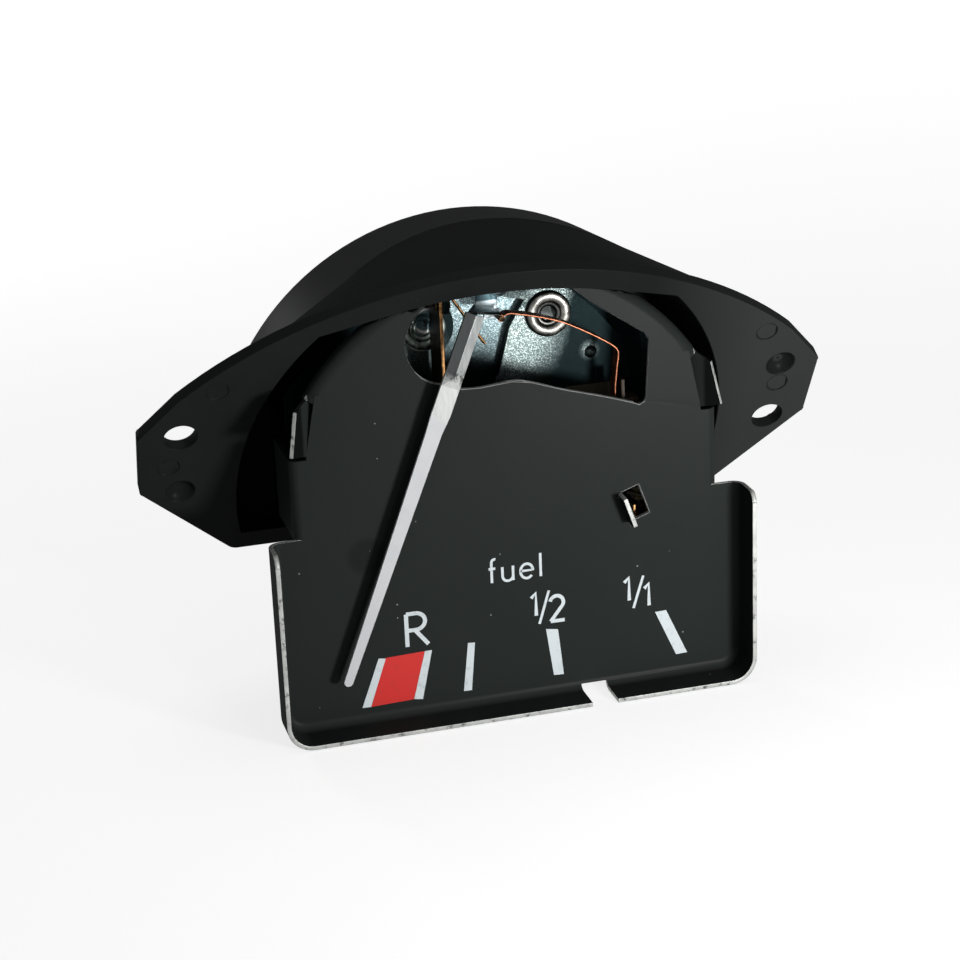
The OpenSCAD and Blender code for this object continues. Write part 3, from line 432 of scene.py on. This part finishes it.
def paint(name, colour, worn):
    made, tree, shader, where = startMaterial(name, Specular_IOR_Level=0.35)
    blotch = noise(tree, where, 1400, 4, 0.6)
    join(tree, tint(tree, spread(tree, blotch, 0, 1, 0.55, 0.75), colour, worn), shader, "Base Color")
    mottledRoughness(tree, shader, blotch, 0.44, 0.58)
    relief(tree, shader, blotch, 0.003 * mm)
    return made


def woundCover(name, dark, light, lay, rough, dim):
    # Fine threads laid round a wire, from the tube's own attributes.
    made, tree, shader, where = startMaterial(name, Specular_IOR_Level=0.4)
    along = addNode(tree, "ShaderNodeAttribute", attribute_name="along").outputs["Fac"]
    around = addNode(tree, "ShaderNodeAttribute", attribute_name="around").outputs["Fac"]
    turns = calc(tree, "ADD", calc(tree, "DIVIDE", along, lay * mm), around)
    threads = calc(tree, "SINE", product(tree, turns, 2 * math.pi))
    blotch = noise(tree, where, 900, 3)
    mixed = calc(tree, "ADD", spread(tree, threads, 0, 0.45, -1, 1), spread(tree, blotch, 0, 0.6, *usual))
    high = addNode(tree, "ShaderNodeSeparateXYZ", {0: where}).outputs[2]
    # The cover is darker low down: painted shade at the window's edge.
    kept = spread(tree, high, 0.16, 1.0, *[zeroZ + z * mm for z in dim])
    join(tree, tint(tree, product(tree, mixed, kept), dark, light), shader, "Base Color")
    mottledRoughness(tree, shader, blotch, rough - 0.08, rough + 0.1)
    relief(tree, shader, threads, 0.02 * mm)
    return made


def wovenTape():
    made, tree, shader, where = startMaterial("wovenTape", Specular_IOR_Level=0.3, Sheen_Weight=0.2)
    waves = [addNode(tree, "ShaderNodeTexWave", {"Vector": where, "Scale": 900.0, "Distortion": 0.6},
                     bands_direction=way).outputs["Fac"] for way in ("X", "Y", "Z")]
    weave = product(tree, calc(tree, "ADD", waves[0], waves[1]), waves[2])
    blotch = noise(tree, where, 500, 3)
    mixed = calc(tree, "ADD", product(tree, weave, 0.35), spread(tree, blotch, 0, 0.6, *usual))
    join(tree, tint(tree, mixed, colours["tapeDark"], colours["tapeLight"]), shader, "Base Color")
    shader.inputs["Roughness"].default_value = 0.8
    relief(tree, shader, weave, 0.03 * mm)
    return made


eyeletPlaces = [atDial(side * 7.1, 6.6, 42.5) for side in (-1, 1)]
pointerLayout = {"lean": 21.8, "pivotHeight": 47.7, "offset": 2.69, "headEnd": 9.9, "paintFrom": 15.2,
                 "slant": -0.2, "bladeFrom": 16.4, "headHalf": 1.06, "shift": 0.08, "easeOff": 0.2,
                 "cheekFrom": 0.5}
shadeRise = (29, 32.5)
finish = {
    "black_plastic": mouldedBlack(rightEar),
    "dial_paint": dialPaint(roundMark, bentEarShade),
    "screw_steel": metal("platedScrew", (0.34, 0.34, 0.32), (0.60, 0.60, 0.57), 0.36),
    # In both zincs the bright places are painted light, and the dark past each line is painted shade.
    "zinc_blue": plated("blueZinc", (0.0025, 0.0045, 0.005), (0.17, 0.24, 0.255), (0.52, 0.62, 0.63),
                        [((0.5, 9, 46.4), 1.0, 10.0, 1.0), ((-7, 9, 38), 0.5, 4.0, 0.2)],
                        {"at": (9, 9, 42), "way": (0.8, 0, -0.6), "from": -1.5, "to": 1.5}),
    "eyelet_zinc": rolledRim("eyeletZinc", (0.06, 0.06, 0.055), (0.24, 0.235, 0.215), eyeletPlaces,
                             {"dome": (1.10, 1.34), "groove": (2.30, 2.52)},
                             {"at": (-6.75, 6.8, 43.3), "radius": 1.4, "edge": (0.06, 0.16), "mouth": 1.2}),
    "zinc_light": plated("lightZinc", (0.0035, 0.006, 0.0065), (0.095, 0.125, 0.122), (0.40, 0.455, 0.44),
                         [((3.6, 7, 40.1), 1.6, 6.0, 1.0), ((7.4, 7, 45.5), 0.8, 3.4, 0.8),
                          ((-9, 7, 40), 1.5, 5.0, 0.35)],
                         {"at": (9.8, 7, 36.9), "way": (0.42, 0, -0.907), "from": -1.9, "to": 1.1},
                         {"at": (11.75, 6.9, 37.75), "reach": 1.4}),
    "pointer_white": pointerFinish(pointerLayout),
    "hub_metal": hubFinish((2.60, 2.90), (45.05, 45.25)),
    "brass": metal("tarnishedBrass", (0.025, 0.018, 0.010), (0.08, 0.055, 0.03), 0.5),
    "copper_leaf": metal("copperLeaf", (0.030, 0.011, 0.006), (0.13, 0.045, 0.018), 0.5, 900, level=0.35),
    "bimetal": metal("brownBimetal", (0.006, 0.005, 0.004), (0.028, 0.017, 0.011), 0.5, 500, level=0.7),
    "glass_tape": wovenTape(),
    "heater_wire": woundCover("windingCover", (0.012, 0.008, 0.004), (0.24, 0.14, 0.04), 0.16, 0.55,
                              shadeRise),
    "lead_cover": woundCover("leadSleeve", (0.06, 0.02, 0.014), (0.15, 0.05, 0.03), 0.5, 0.5, shadeRise),
    "fibre": matt("vulcanFibre", (0.008, 0.007, 0.003), (0.024, 0.019, 0.007), 0.7),
}
freshCopper = metal("freshCopper", (0.07, 0.024, 0.012), (0.22, 0.085, 0.048), 0.32, 1800)
dullSteel = metal("dullSteel", (0.02, 0.025, 0.027), (0.06, 0.075, 0.08), 0.5)
wornCopper = metal("wornCopper", (0.040, 0.020, 0.010), (0.36, 0.19, 0.075), 0.42, 1500)
bareSteel = cutEdge()
whitePaint = paint("scaleWhite", (0.66, 0.72, 0.74), (0.50, 0.56, 0.58))
redPaint = paint("reserveRed", (0.62, 0.022, 0.018), (0.52, 0.03, 0.022))
wornPaint = matt("wornPaint", (0.04, 0.044, 0.044), (0.34, 0.35, 0.34), 0.5, 1600)
print("materials made:", len(bpy.data.materials))


# Dressed copies of the rigid nodes: merged, their edges slightly rounded

# Lengths in millimetres, areas in square millimetres, angles in degrees. A cut edge is a face
# with hardly more than the sheet's thickness behind it.
dressing = {"weld": 0.0005, "shortEdge": 0.02, "sliverWidth": 0.03, "roundFrom": 32, "softBelow": 38,
            "sheetShare": 1.35, "pullShare": 0.75, "steps": 2, "leastBroad": 45, "sliver": 0.003,
            "tinyEdge": 0.001, "skin": 0.002, "sameWay": 0.999998, "nearlyWay": 0.9995,
            "nearPlane": 0.03}


def thicknessBehind(tree, face):
    inward = -face.normal
    hit = tree.ray_cast(face.calc_center_median() + inward * dressing["skin"], inward)
    return hit[3] if hit[0] else 0.0


def sharpAndSound(edge):
    # Real corners only: slivers of the triangulation have no sound angle.
    if len(edge.link_faces) != 2 or edge.calc_length() < dressing["shortEdge"]:
        return False
    sound = all(f.calc_area() > dressing["sliverWidth"] * max(e.calc_length() for e in f.edges)
                for f in edge.link_faces)
    return sound and edge.calc_face_angle(0) > math.radians(dressing["roundFrom"])


def broadPlanes(work):
    # The planes of large flat areas, whose faces keep the plane's normal after the rounding.
    planes = []
    seen = set()
    for face in work.faces:
        if face in seen:
            continue
        region = [face]
        seen.add(face)
        for current in region:
            for edge in current.edges:
                for other in edge.link_faces:
                    if other not in seen and current.normal.dot(other.normal) > dressing["sameWay"]:
                        seen.add(other)
                        region.append(other)
        if sum(f.calc_area() for f in region) > dressing["leastBroad"]:
            widest = max(region, key=lambda f: f.calc_area())
            planes.append((widest.normal.copy(), widest.normal.dot(widest.calc_center_median())))
    return planes


def meshPiece(name, mesh, body):
    made = bpy.data.objects.new(name, mesh)
    bpy.context.scene.collection.objects.link(made)
    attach(made, body)
    return made


def settled(obj):
    # The evaluated piece as a plain mesh, its modifiers gone.
    graph = bpy.context.evaluated_depsgraph_get()
    mesh = bpy.data.meshes.new_from_object(obj.evaluated_get(graph), depsgraph=graph)
    bpy.data.objects.remove(obj)
    return mesh


def widenHead(work):
    # The pointer's head and neck as wide as they are seen, down to where the blade begins.
    p = pointerLayout
    pivot = atDial(0, 0, p["pivotHeight"]) / mm
    across, down = pointerAxes(p)
    bmesh.ops.bisect_plane(work, geom=work.verts[:] + work.edges[:] + work.faces[:],
                           plane_co=pivot + down * p["bladeFrom"], plane_no=down)
    for v in work.verts:
        away = v.co - pivot
        side = away.dot(across) + p["offset"]
        if away.dot(down) < p["bladeFrom"] - p["easeOff"] and abs(side) > p["cheekFrom"]:
            v.co += across * (math.copysign(p["headHalf"], side) + p["shift"] - side)
    bmesh.ops.dissolve_degenerate(work, edges=work.edges, dist=dressing["tinyEdge"])


wings = {"above": 30, "beyond": 17.5, "facing": -0.5, "rear": 0.7}


def seenBare(point, normal):
    # The dial's cut edges are bare but for those of its wings, its crown and its rear.
    high = point.z > wings["above"] and abs(point.x) > wings["beyond"]
    return point.y < wings["rear"] and not (high and normal.y > wings["facing"])


def flattened(mesh, planes):
    # On the broad planes every corner gets the plane's normal, so that they shade as one.
    corners = [c.vector.copy() for c in mesh.corner_normals]
    for face in mesh.polygons:
        for normal, level in planes:
            off = abs(normal.dot(face.center) / mm - level)
            if normal.dot(face.normal) > dressing["nearlyWay"] and off < dressing["nearPlane"]:
                for corner in face.loop_indices:
                    corners[corner] = normal
    mesh.normals_split_custom_set(corners)


def dressed(node, bevel, edge=None, sheet=None, reshape=None, cover=None, bareAt=None):
    work = bmesh.new()
    work.from_mesh(frame["nodes"][node].data)
    bmesh.ops.scale(work, vec=(1 / mm,) * 3, verts=work.verts)
    bmesh.ops.remove_doubles(work, verts=work.verts, dist=dressing["weld"])
    if reshape:
        reshape(work)
    work.normal_update()
    if edge:
        tree = BVHTree.FromBMesh(work)
        origin = atDial(0, 0, 0) / mm
        for face in work.faces:
            seen = not bareAt or bareAt(face.calc_center_median() - origin, face.normal)
            deep = seen and thicknessBehind(tree, face) > sheet * dressing["sheetShare"]
            face.material_index = int(deep)
    sharp = [e for e in work.edges if sharpAndSound(e)]
    before = BVHTree.FromBMesh(work)
    planes = broadPlanes(work)
    bevelled = bmesh.ops.bevel(work, geom=sharp, offset=bevel, segments=dressing["steps"], profile=0.5,
                               affect="EDGES", clamp_overlap=False, offset_type="OFFSET")
    rounded = set(bevelled["faces"])
    worn = [f for f in rounded
            if any(n.material_index and n not in rounded for e in f.edges for n in e.link_faces)]
    for face in rounded:
        face.material_index = 0
    for face in worn:
        face.material_index = 1
    for v in work.verts:
        near, away = before.find_nearest(v.co)[0::3]
        if away > bevel * dressing["pullShare"]:
            v.co = near
    # Faces without a sound normal would leave a crease on the broad planes.
    bmesh.ops.dissolve_degenerate(work, dist=dressing["sliver"], edges=work.edges)
    bmesh.ops.triangulate(work, faces=[f for f in work.faces if len(f.verts) > 4])
    bmesh.ops.scale(work, vec=(mm,) * 3, verts=work.verts)
    mesh = bpy.data.meshes.new(node + "Dressed")
    work.to_mesh(mesh)
    work.free()
    mesh.materials.append(cover or finish[slotOf[node]])
    if edge:
        mesh.materials.append(edge)
    mesh.shade_smooth()
    mesh.set_sharp_from_angle(angle=math.radians(dressing["softBelow"]))
    draft = bpy.data.objects.new(node + "Draft", mesh)
    bpy.context.scene.collection.objects.link(draft)
    weighted = draft.modifiers.new("flatFaces", "WEIGHTED_NORMAL")
    weighted.keep_sharp = True
    mesh = settled(draft)
    flattened(mesh, planes)
    made = meshPiece(node + "Dressed", mesh, bodyOf[node])
    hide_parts(node)


# Rounding of the edges in millimetres, and the sheet's thickness where its cut edge is bare.
rounding = {
    "housing": {"bevel": 0.12},
    "dial_plate": {"bevel": 0.07, "edge": bareSteel, "sheet": 0.5, "bareAt": seenBare},
    "dial_screws": {"bevel": 0.06},
    "movement_frame": {"bevel": 0.06},
    "frame_screws": {"bevel": 0.1},
    "frame_washers": {"bevel": 0.06},
    "arm_eyelets": {"bevel": 0.03},
    "spring_washers": {"bevel": 0.03},
    "range_arm": {"bevel": 0.05},
    "pivot_pin": {"bevel": 0.04, "cover": dullSteel},
    "pointer": {"bevel": 0.03, "reshape": widenHead},
    "pointer_hub": {"bevel": 0.03},
    "link_pin": {"bevel": 0.02},
    "link_leaf": {"bevel": 0.02, "edge": freshCopper, "sheet": 0.15},
    "zero_arm": {"bevel": 0.05},
    "compensating_leg": {"bevel": 0.09, "edge": wornCopper, "sheet": 0.4},
    "lug_rivets": {"bevel": 0.04},
    "foot_rivets": {"bevel": 0.04},
    "heated_leg": {"bevel": 0.03},
    "supply_terminal": {"bevel": 0.06},
    "sender_terminal": {"bevel": 0.06},
    "terminal_collars": {"bevel": 0.06},
    "backing_card": {"bevel": 0.02},
}
for nodeName, settings in rounding.items():
    dressed(nodeName, **settings)
print("dressed nodes:", len(rounding))


# Wires and painted strokes: one tree lays a section along a path

def pathTree(name, isRound):
    tree = bpy.data.node_groups.new(name, "GeometryNodeTree")
    sockets = tree.interface
    sockets.new_socket("Path", in_out="INPUT", socket_type="NodeSocketGeometry")
    for label in ("Radius",) if isRound else ("Width", "Depth"):
        sockets.new_socket(label, in_out="INPUT", socket_type="NodeSocketFloat")
    if isRound:
        sockets.new_socket("Sides", in_out="INPUT", socket_type="NodeSocketInt")
    sockets.new_socket("Finish", in_out="INPUT", socket_type="NodeSocketMaterial")
    sockets.new_socket("Mesh", in_out="OUTPUT", socket_type="NodeSocketGeometry")
    given = tree.nodes.new("NodeGroupInput").outputs
    along = addNode(tree, "GeometryNodeSplineParameter")
    kept = addNode(tree, "GeometryNodeCaptureAttribute", {"Geometry": given["Path"]})
    kept.capture_items.new("FLOAT", "along")
    tree.links.new(along.outputs["Length"], kept.inputs["along"])
    if isRound:
        section = addNode(tree, "GeometryNodeCurvePrimitiveCircle",
                          {"Resolution": given["Sides"], "Radius": given["Radius"]}).outputs["Curve"]
    else:
        section = addNode(tree, "GeometryNodeCurvePrimitiveQuadrilateral",
                          {"Width": given["Width"], "Height": given["Depth"]}).outputs["Curve"]
    turned = addNode(tree, "GeometryNodeCaptureAttribute", {"Geometry": section})
    turned.capture_items.new("FLOAT", "around")
    tree.links.new(along.outputs["Factor"], turned.inputs["around"])
    tube = addNode(tree, "GeometryNodeCurveToMesh",
                   {"Curve": kept.outputs["Geometry"], "Profile Curve": turned.outputs["Geometry"],
                    "Fill Caps": True})
    last = tube.outputs["Mesh"]
    for label, source in (("along", kept), ("around", turned)):
        last = addNode(tree, "GeometryNodeStoreNamedAttribute",
                       {"Geometry": last, "Name": label, "Value": source.outputs[label]},
                       data_type="FLOAT", domain="POINT").outputs["Geometry"]
    smooth = addNode(tree, "GeometryNodeSetShadeSmooth", {"Geometry": last, "Shade Smooth": isRound})
    whole = addNode(tree, "GeometryNodeRealizeInstances", {"Geometry": smooth.outputs["Geometry"]})
    coloured = addNode(tree, "GeometryNodeSetMaterial",
                       {"Geometry": whole.outputs["Geometry"], "Material": given["Finish"]})
    out = tree.nodes.new("NodeGroupOutput")
    tree.links.new(coloured.outputs["Geometry"], out.inputs["Mesh"])
    return tree


wireTree = pathTree("wireAlongPath", True)
strokeTree = pathTree("strokeAlongPath", False)


def smoothPath(points, steps):
    # A curve through all the points.
    path = []
    for i in range(len(points) - 1):
        a, b, c, d = (Vector(points[max(0, min(len(points) - 1, k))]) for k in (i - 1, i, i + 1, i + 2))
        for k in range(steps):
            t = k / steps
            path.append((2 * b + (c - a) * t + (2 * a - 5 * b + 4 * c - d) * t * t
                         + (3 * b - a - 3 * c + d) * t ** 3) / 2)
    return path + [Vector(points[-1])]


def swept(name, paths, tree, inputs, radii=None):
    data = bpy.data.curves.new(name, "CURVE")
    data.dimensions = "3D"
    for path in paths:
        spline = data.splines.new("POLY")
        spline.points.add(len(path) - 1)
        for i, p in enumerate(path):
            spline.points[i].co = (*p, 1)
            spline.points[i].radius = radii(i, len(path)) if radii else 1
    draft = bpy.data.objects.new(name + "Draft", data)
    bpy.context.scene.collection.objects.link(draft)
    modifier = draft.modifiers.new("laid", "NODES")
    modifier.node_group = tree
    for item in tree.interface.items_tree:
        if item.in_out == "INPUT" and item.name in inputs:
            modifier[item.identifier] = inputs[item.name]
    mesh = settled(draft)
    mesh.name = name
    return mesh


# The heating wire: an unbroken stadium-shaped coil round the taped leg.
winding = {"turns": 12, "pitch": 0.84, "wire": 0.36, "middle": (15.6, 4.2), "start": 21.75,
           "halfAcross": 0.9, "straight": 3.2, "points": 72, "sides": 12}


def windingPath(w):
    path = []
    half = w["halfAcross"]
    length = 2 * w["straight"] + 2 * math.pi * half
    for i in range(w["turns"] * w["points"] + 1):
        s = (i / w["points"]) % 1 * length
        if s < w["straight"]:
            p = (half, w["straight"] / 2 - s)
        elif s < w["straight"] + math.pi * half:
            a = (s - w["straight"]) / half
            p = (half * math.cos(a), -w["straight"] / 2 - half * math.sin(a))
        elif s < 2 * w["straight"] + math.pi * half:
            p = (-half, -w["straight"] / 2 + s - w["straight"] - math.pi * half)
        else:
            a = (s - 2 * w["straight"] - math.pi * half) / half
            p = (-half * math.cos(a), w["straight"] / 2 + half * math.sin(a))
        path.append(atDial(w["middle"][0] + p[0], w["middle"][1] + p[1],
                           w["start"] + w["pitch"] * i / w["points"]))
    return path


coil = meshPiece("heatingWire", swept("heatingWire", [windingPath(winding)], wireTree,
                                      {"Radius": winding["wire"] / 2 * mm, "Sides": winding["sides"],
                                       "Finish": finish["heater_wire"]}),
                 bodyOf["heater_winding"])
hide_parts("heater_winding")


# The glass tape under it, wrapped with a lap that climbs round the leg.
tape = {"middle": (15.6, 4.2), "low": 21.3, "high": 32.28, "half": (0.7, 2.3), "squareness": 4.5,
        "lap": 1.9, "step": 0.05, "rings": 120, "across": 48, "softBelow": 50}


def meshFrom(work, name, material):
    bmesh.ops.recalc_face_normals(work, faces=work.faces)
    mesh = bpy.data.meshes.new(name)
    work.to_mesh(mesh)
    work.free()
    mesh.materials.append(material)
    return mesh


def wrappedTape(t):
    work = bmesh.new()
    rings = []
    for i in range(t["rings"] + 1):
        z = t["low"] + (t["high"] - t["low"]) * i / t["rings"]
        ring = []
        for k in range(t["across"]):
            a = 2 * math.pi * k / t["across"]
            power = t["squareness"]
            reach = (abs(math.cos(a)) ** power + abs(math.sin(a)) ** power) ** (-1 / power)
            saw = ((z - t["low"]) / t["lap"] + k / t["across"]) % 1
            under = t["step"] * (1 - saw) - t["step"]
            x = t["middle"][0] + (t["half"][0] + under) * reach * math.cos(a)
            y = t["middle"][1] + (t["half"][1] + under) * reach * math.sin(a)
            ring.append(work.verts.new(atDial(x, y, z)))
        rings.append(ring)
    for low, high in zip(rings, rings[1:]):
        for k in range(t["across"]):
            n = (k + 1) % t["across"]
            work.faces.new((low[k], low[n], high[n], high[k]))
    work.faces.new(list(reversed(rings[0])))
    work.faces.new(rings[-1])
    mesh = meshFrom(work, "wrappedTape", finish["glass_tape"])
    mesh.shade_smooth()
    mesh.set_sharp_from_angle(angle=math.radians(tape["softBelow"]))
    return mesh


sleeve = meshPiece("wrappedTape", wrappedTape(tape), bodyOf["heater_insulation"])
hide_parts("heater_insulation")

# The two fixed leads from the terminals to the foot of the bimetal.
leadRoutes = [
    [(-8, 15.2, 34), (-8.6, 13, 31), (-5.5, 11.4, 26.5), (-2.4, 10.6, 24.8), (-2, 9, 24.6), (-1.4, 7.6, 22.5),
     (1, 7.3, 21), (6, 7.4, 20.6), (9.6, 7.3, 20.8)],
    [(8, 15.2, 34), (8.2, 13, 31), (5.5, 11.4, 27), (2.6, 10.6, 24.8), (2.2, 9, 24.4), (1.6, 7.7, 22.3),
     (2, 6.2, 20.6), (1.2, 4.4, 19.9)],
]
leadPaths = [[atDial(*p) for p in smoothPath(route, 10)] for route in leadRoutes]
leadWire = {"Radius": 0.45 * mm, "Sides": 16, "Finish": finish["lead_cover"]}
leads = meshPiece("coveredLeads", swept("coveredLeads", leadPaths, wireTree, leadWire),
                  bodyOf["heater_leads"])
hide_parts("heater_leads")

# A fine bare wire that lies on the frame's plate behind the pointer's head.
fineWire = {"from": (-3.9, 8.22, 45.9), "to": (0.12, 8.22, 39.55), "radius": 0.15, "sides": 14,
            "steps": 12, "tip": 0.55}
finePath = [atDial(*fineWire["from"]).lerp(atDial(*fineWire["to"]), k / fineWire["steps"])
            for k in range(fineWire["steps"] + 1)]
meshPiece("fineWire", swept("fineWire", [finePath], wireTree,
                            {"Radius": fineWire["radius"] * mm, "Sides": fineWire["sides"],
                             "Finish": wornCopper},
                            radii=lambda i, n: fineWire["tip"] if i in (0, n - 1) else 1.0),
          "case")
print("wires and tape made")


# The printed scale

# Millimetres above and below the dial's face, and from one stroke to the next.
prints = {"thick": 0.02, "sunk": 0.01, "stagger": 0.0015}


def patch(name, outlines, material):
    work = bmesh.new()
    for outline in outlines:
        front = [work.verts.new(atDial(x, -prints["thick"], z)) for x, z in outline]
        back = [work.verts.new(atDial(x, prints["sunk"], z)) for x, z in outline]
        work.faces.new(front)
        work.faces.new(list(reversed(back)))
        for k in range(len(outline)):
            n = (k + 1) % len(outline)
            work.faces.new((front[n], front[k], back[k], back[n]))
    meshPiece(name, meshFrom(work, name, material), "case")


bars = [
    [(-15.62, 7.72), (-14.83, 7.60), (-16.80, 2.08), (-17.76, 2.12)],
    [(-10.37, 7.80), (-9.57, 7.80), (-10.88, 2.08), (-11.90, 2.24)],
    [(-5.45, 7.99), (-4.65, 7.93), (-5.24, 2.25), (-6.16, 2.28)],
    [(3.58, 8.28), (4.97, 8.06), (5.50, 2.48), (4.33, 2.55)],
    [(16.42, 8.37), (17.73, 8.42), (20.18, 2.86), (18.85, 2.82)],
]
patch("scaleBars", bars, whitePaint)
reserve = [(-14.80, 7.67), (-10.40, 7.80), (-11.87, 2.23), (-16.77, 2.09)]
patch("reserveField", [reserve], redPaint)


def arc(cx, cy, rx, ry, start, end, count=14):
    return [(cx + rx * math.cos(math.radians(start + (end - start) * k / count)),
             cy + ry * math.sin(math.radians(start + (end - start) * k / count))) for k in range(count + 1)]


# Letters as pen strokes on a body one unit high, and how far each reaches to the right.
glyphs = {
    "R": (0.62, [[(0, 0), (0, 1)], [(0, 1)] + arc(0.27, 0.745, 0.28, 0.255, 90, -90) + [(0, 0.49)],
                 [(0.24, 0.49), (0.62, 0)]]),
    "f": (0.30, [arc(0.25, 0.84, 0.13, 0.16, 70, 180, 8) + [(0.12, 0)], [(0, 0.60), (0.28, 0.60)]]),
    "u": (0.46, [[(0, 0.62)] + arc(0.22, 0.23, 0.22, 0.23, 180, 360, 12) + [(0.44, 0.62)],
                 [(0.44, 0.40), (0.44, 0)]]),
    "e": (0.56, [[(0.02, 0.33)] + [(0.54, 0.33)] + arc(0.28, 0.31, 0.26, 0.31, 5, 320, 22)]),
    "l": (0.06, [[(0.03, 0), (0.03, 1)]]),
    "1": (0.26, [[(0, 0.80), (0.2, 1.0), (0.2, 0)]]),
    "2": (0.55, [arc(0.27, 0.73, 0.26, 0.27, 165, -25, 14) + [(0.02, 0.0)], [(0.02, 0.0), (0.56, 0.0)]]),
}


def laidOnDial(mesh):
    for v in mesh.vertices:
        v.co = atDial(v.co.x, (prints["sunk"] - prints["thick"]) / 2 - v.co.z, v.co.y)
    return mesh


def stroked(name, paths, width, material, radii=None):
    # Strokes as thick as the prints, laid on the dial's face.
    section = {"Width": width, "Depth": prints["thick"] + prints["sunk"], "Finish": material}
    return laidOnDial(swept(name, paths, strokeTree, section, radii))


def written(name, words, width):
    paths = []
    for text, left, low, high, gap in words:
        for letter in text:
            reach, strokes = glyphs[letter]
            for stroke in strokes:
                # Strokes that meet lie at slightly different depths.
                depth = prints["stagger"] * (len(paths) % 3)
                paths.append([Vector((left + x * high, low + y * high, depth)) for x, y in stroke])
            left += (reach + gap) * high
    return stroked(name, paths, width, whitePaint)


# Each word with its left, foot and height in dial millimetres and its gaps, and the pen's width.
letters = {
    "reserveLetter": ([("R", -12.3, 8.6, 3.85, 0.2)], 0.46),
    "dialWord": ([("fuel", -2.75, 14.7, 2.75, 0.27)], 0.30),
    "halfMark": ([("1", 1.98, 10.05, 2.7, 0.2), ("2", 4.1, 9.1, 3.0, 0.2)], 0.42),
    "fullMark": ([("1", 12.85, 10.25, 2.75, 0.2), ("1", 15.2, 9.3, 2.65, 0.2)], 0.42),
}
for label, (words, width) in letters.items():
    meshPiece(label, written(label, words, width), "case")
slashWidth = 0.3
slashes = [[(2.85, 9.0), (4.05, 12.85)], [(13.88, 9.25), (15.1, 13.0)]]
slashPaths = [[Vector((x, z, 0)) for x, z in line] for line in slashes]
meshPiece("slashes", stroked("slashes", slashPaths, slashWidth, whitePaint), "case")
print("scale printed")


# The dial's paint is worn to the steel along the punched window and the stop's opening.
wornLine = {"step": 0.3, "width": 0.065, "usual": 0.75, "swing": 0.35, "beats": (1.7, 0.61)}


def wornWidth(i, count):
    first, second = (math.sin(i * beat) for beat in wornLine["beats"])
    return wornLine["usual"] + wornLine["swing"] * first * second


def wornLines(lines):
    paths = []
    for line in lines:
        path = []
        for (ax, az), (bx, bz) in zip(line, line[1:]):
            count = max(2, int(math.hypot(bx - ax, bz - az) / wornLine["step"]))
            path += [Vector((ax + (bx - ax) * k / count, az + (bz - az) * k / count, 0))
                     for k in range(count)]
        paths.append(path + [Vector((*line[-1], 0))])
    return stroked("wornLines", paths, wornLine["width"], wornPaint, wornWidth)


stopHole = {"middle": (14.35, 21.85), "turn": 19, "half": (1.05, 1.8), "out": 0.07}


def stopCorner(h, sideways, upward):
    a = math.radians(h["turn"])
    u, v = sideways * (h["half"][0] + h["out"]), upward * (h["half"][1] + h["out"])
    return (h["middle"][0] + u * math.cos(a) - v * math.sin(a),
            h["middle"][1] + u * math.sin(a) + v * math.cos(a))


windowFoot = [(-9.9, 39.9), (-9.2, 39.1), (-8.3, 38.5), (-7.6, 38.24), (-6.2, 37.92), (-4.84, 37.32),
              (-2.8, 37.22), (-1.06, 37.37), (0.84, 37.50), (2.84, 37.14), (6.5, 35.87), (11, 34.54),
              (14.2, 33.47), (15.05, 33.1), (15.7, 33.45)]
stopEdge = [stopCorner(stopHole, *c) for c in ((-1, 1), (1, 1), (1, -1), (-1, -1))]
meshPiece("wornLines", wornLines([stopEdge, windowFoot]), "case")


# Floor and background

def seenShare(tree):
    # One where the camera, a reflection or a clear thing sees it, nought where light falls on it.
    rays = addNode(tree, "ShaderNodeLightPath").outputs
    return calc(tree, "MAXIMUM", calc(tree, "MAXIMUM", rays["Is Camera Ray"], rays["Is Glossy Ray"]),
                rays["Is Transmission Ray"])


def addFloor(s):
    made, tree, shader, where = startMaterial("studioFloor", Specular_IOR_Level=0.0, Roughness=1.0)
    shader.inputs["Base Color"].default_value = (s["floorTone"],) * 3 + (1,)
    away = distanceTo(tree, where, (0, 0, 0))
    lift = spread(tree, away, s["liftNear"], s["liftFar"], *s["liftRise"])
    glow = addNode(tree, "ShaderNodeEmission", {"Strength": product(tree, seenShare(tree), lift)})
    both = addNode(tree, "ShaderNodeAddShader", {0: shader.outputs[0], 1: glow.outputs[0]})
    tree.links.new(both.outputs[0], tree.nodes["Material Output"].inputs["Surface"])
    half = s["floorHalf"]
    corners = ((-half, -half), (half, -half), (half, half), (-half, half))
    mesh = bpy.data.meshes.new("studioFloor")
    mesh.from_pydata([(x, y, zeroZ - s["floorDrop"]) for x, y in corners], [], [(0, 1, 2, 3)])
    mesh.materials.append(made)
    floor = bpy.data.objects.new("studioFloor", mesh)
    bpy.context.scene.collection.objects.link(floor)


def addBackground(s):
    world = bpy.data.worlds.new("studio")
    bpy.context.scene.world = world
    world.use_nodes = True
    tree = world.node_tree
    join(tree, spread(tree, seenShare(tree), s["world"], 1.0), tree.nodes["Background"], "Strength")
    tree.nodes["Background"].inputs["Color"].default_value = (1, 1, 1, 1)


addFloor(studio)
addBackground(studio)
bpy.context.scene.view_settings.view_transform = "Standard"

print("scene ready")
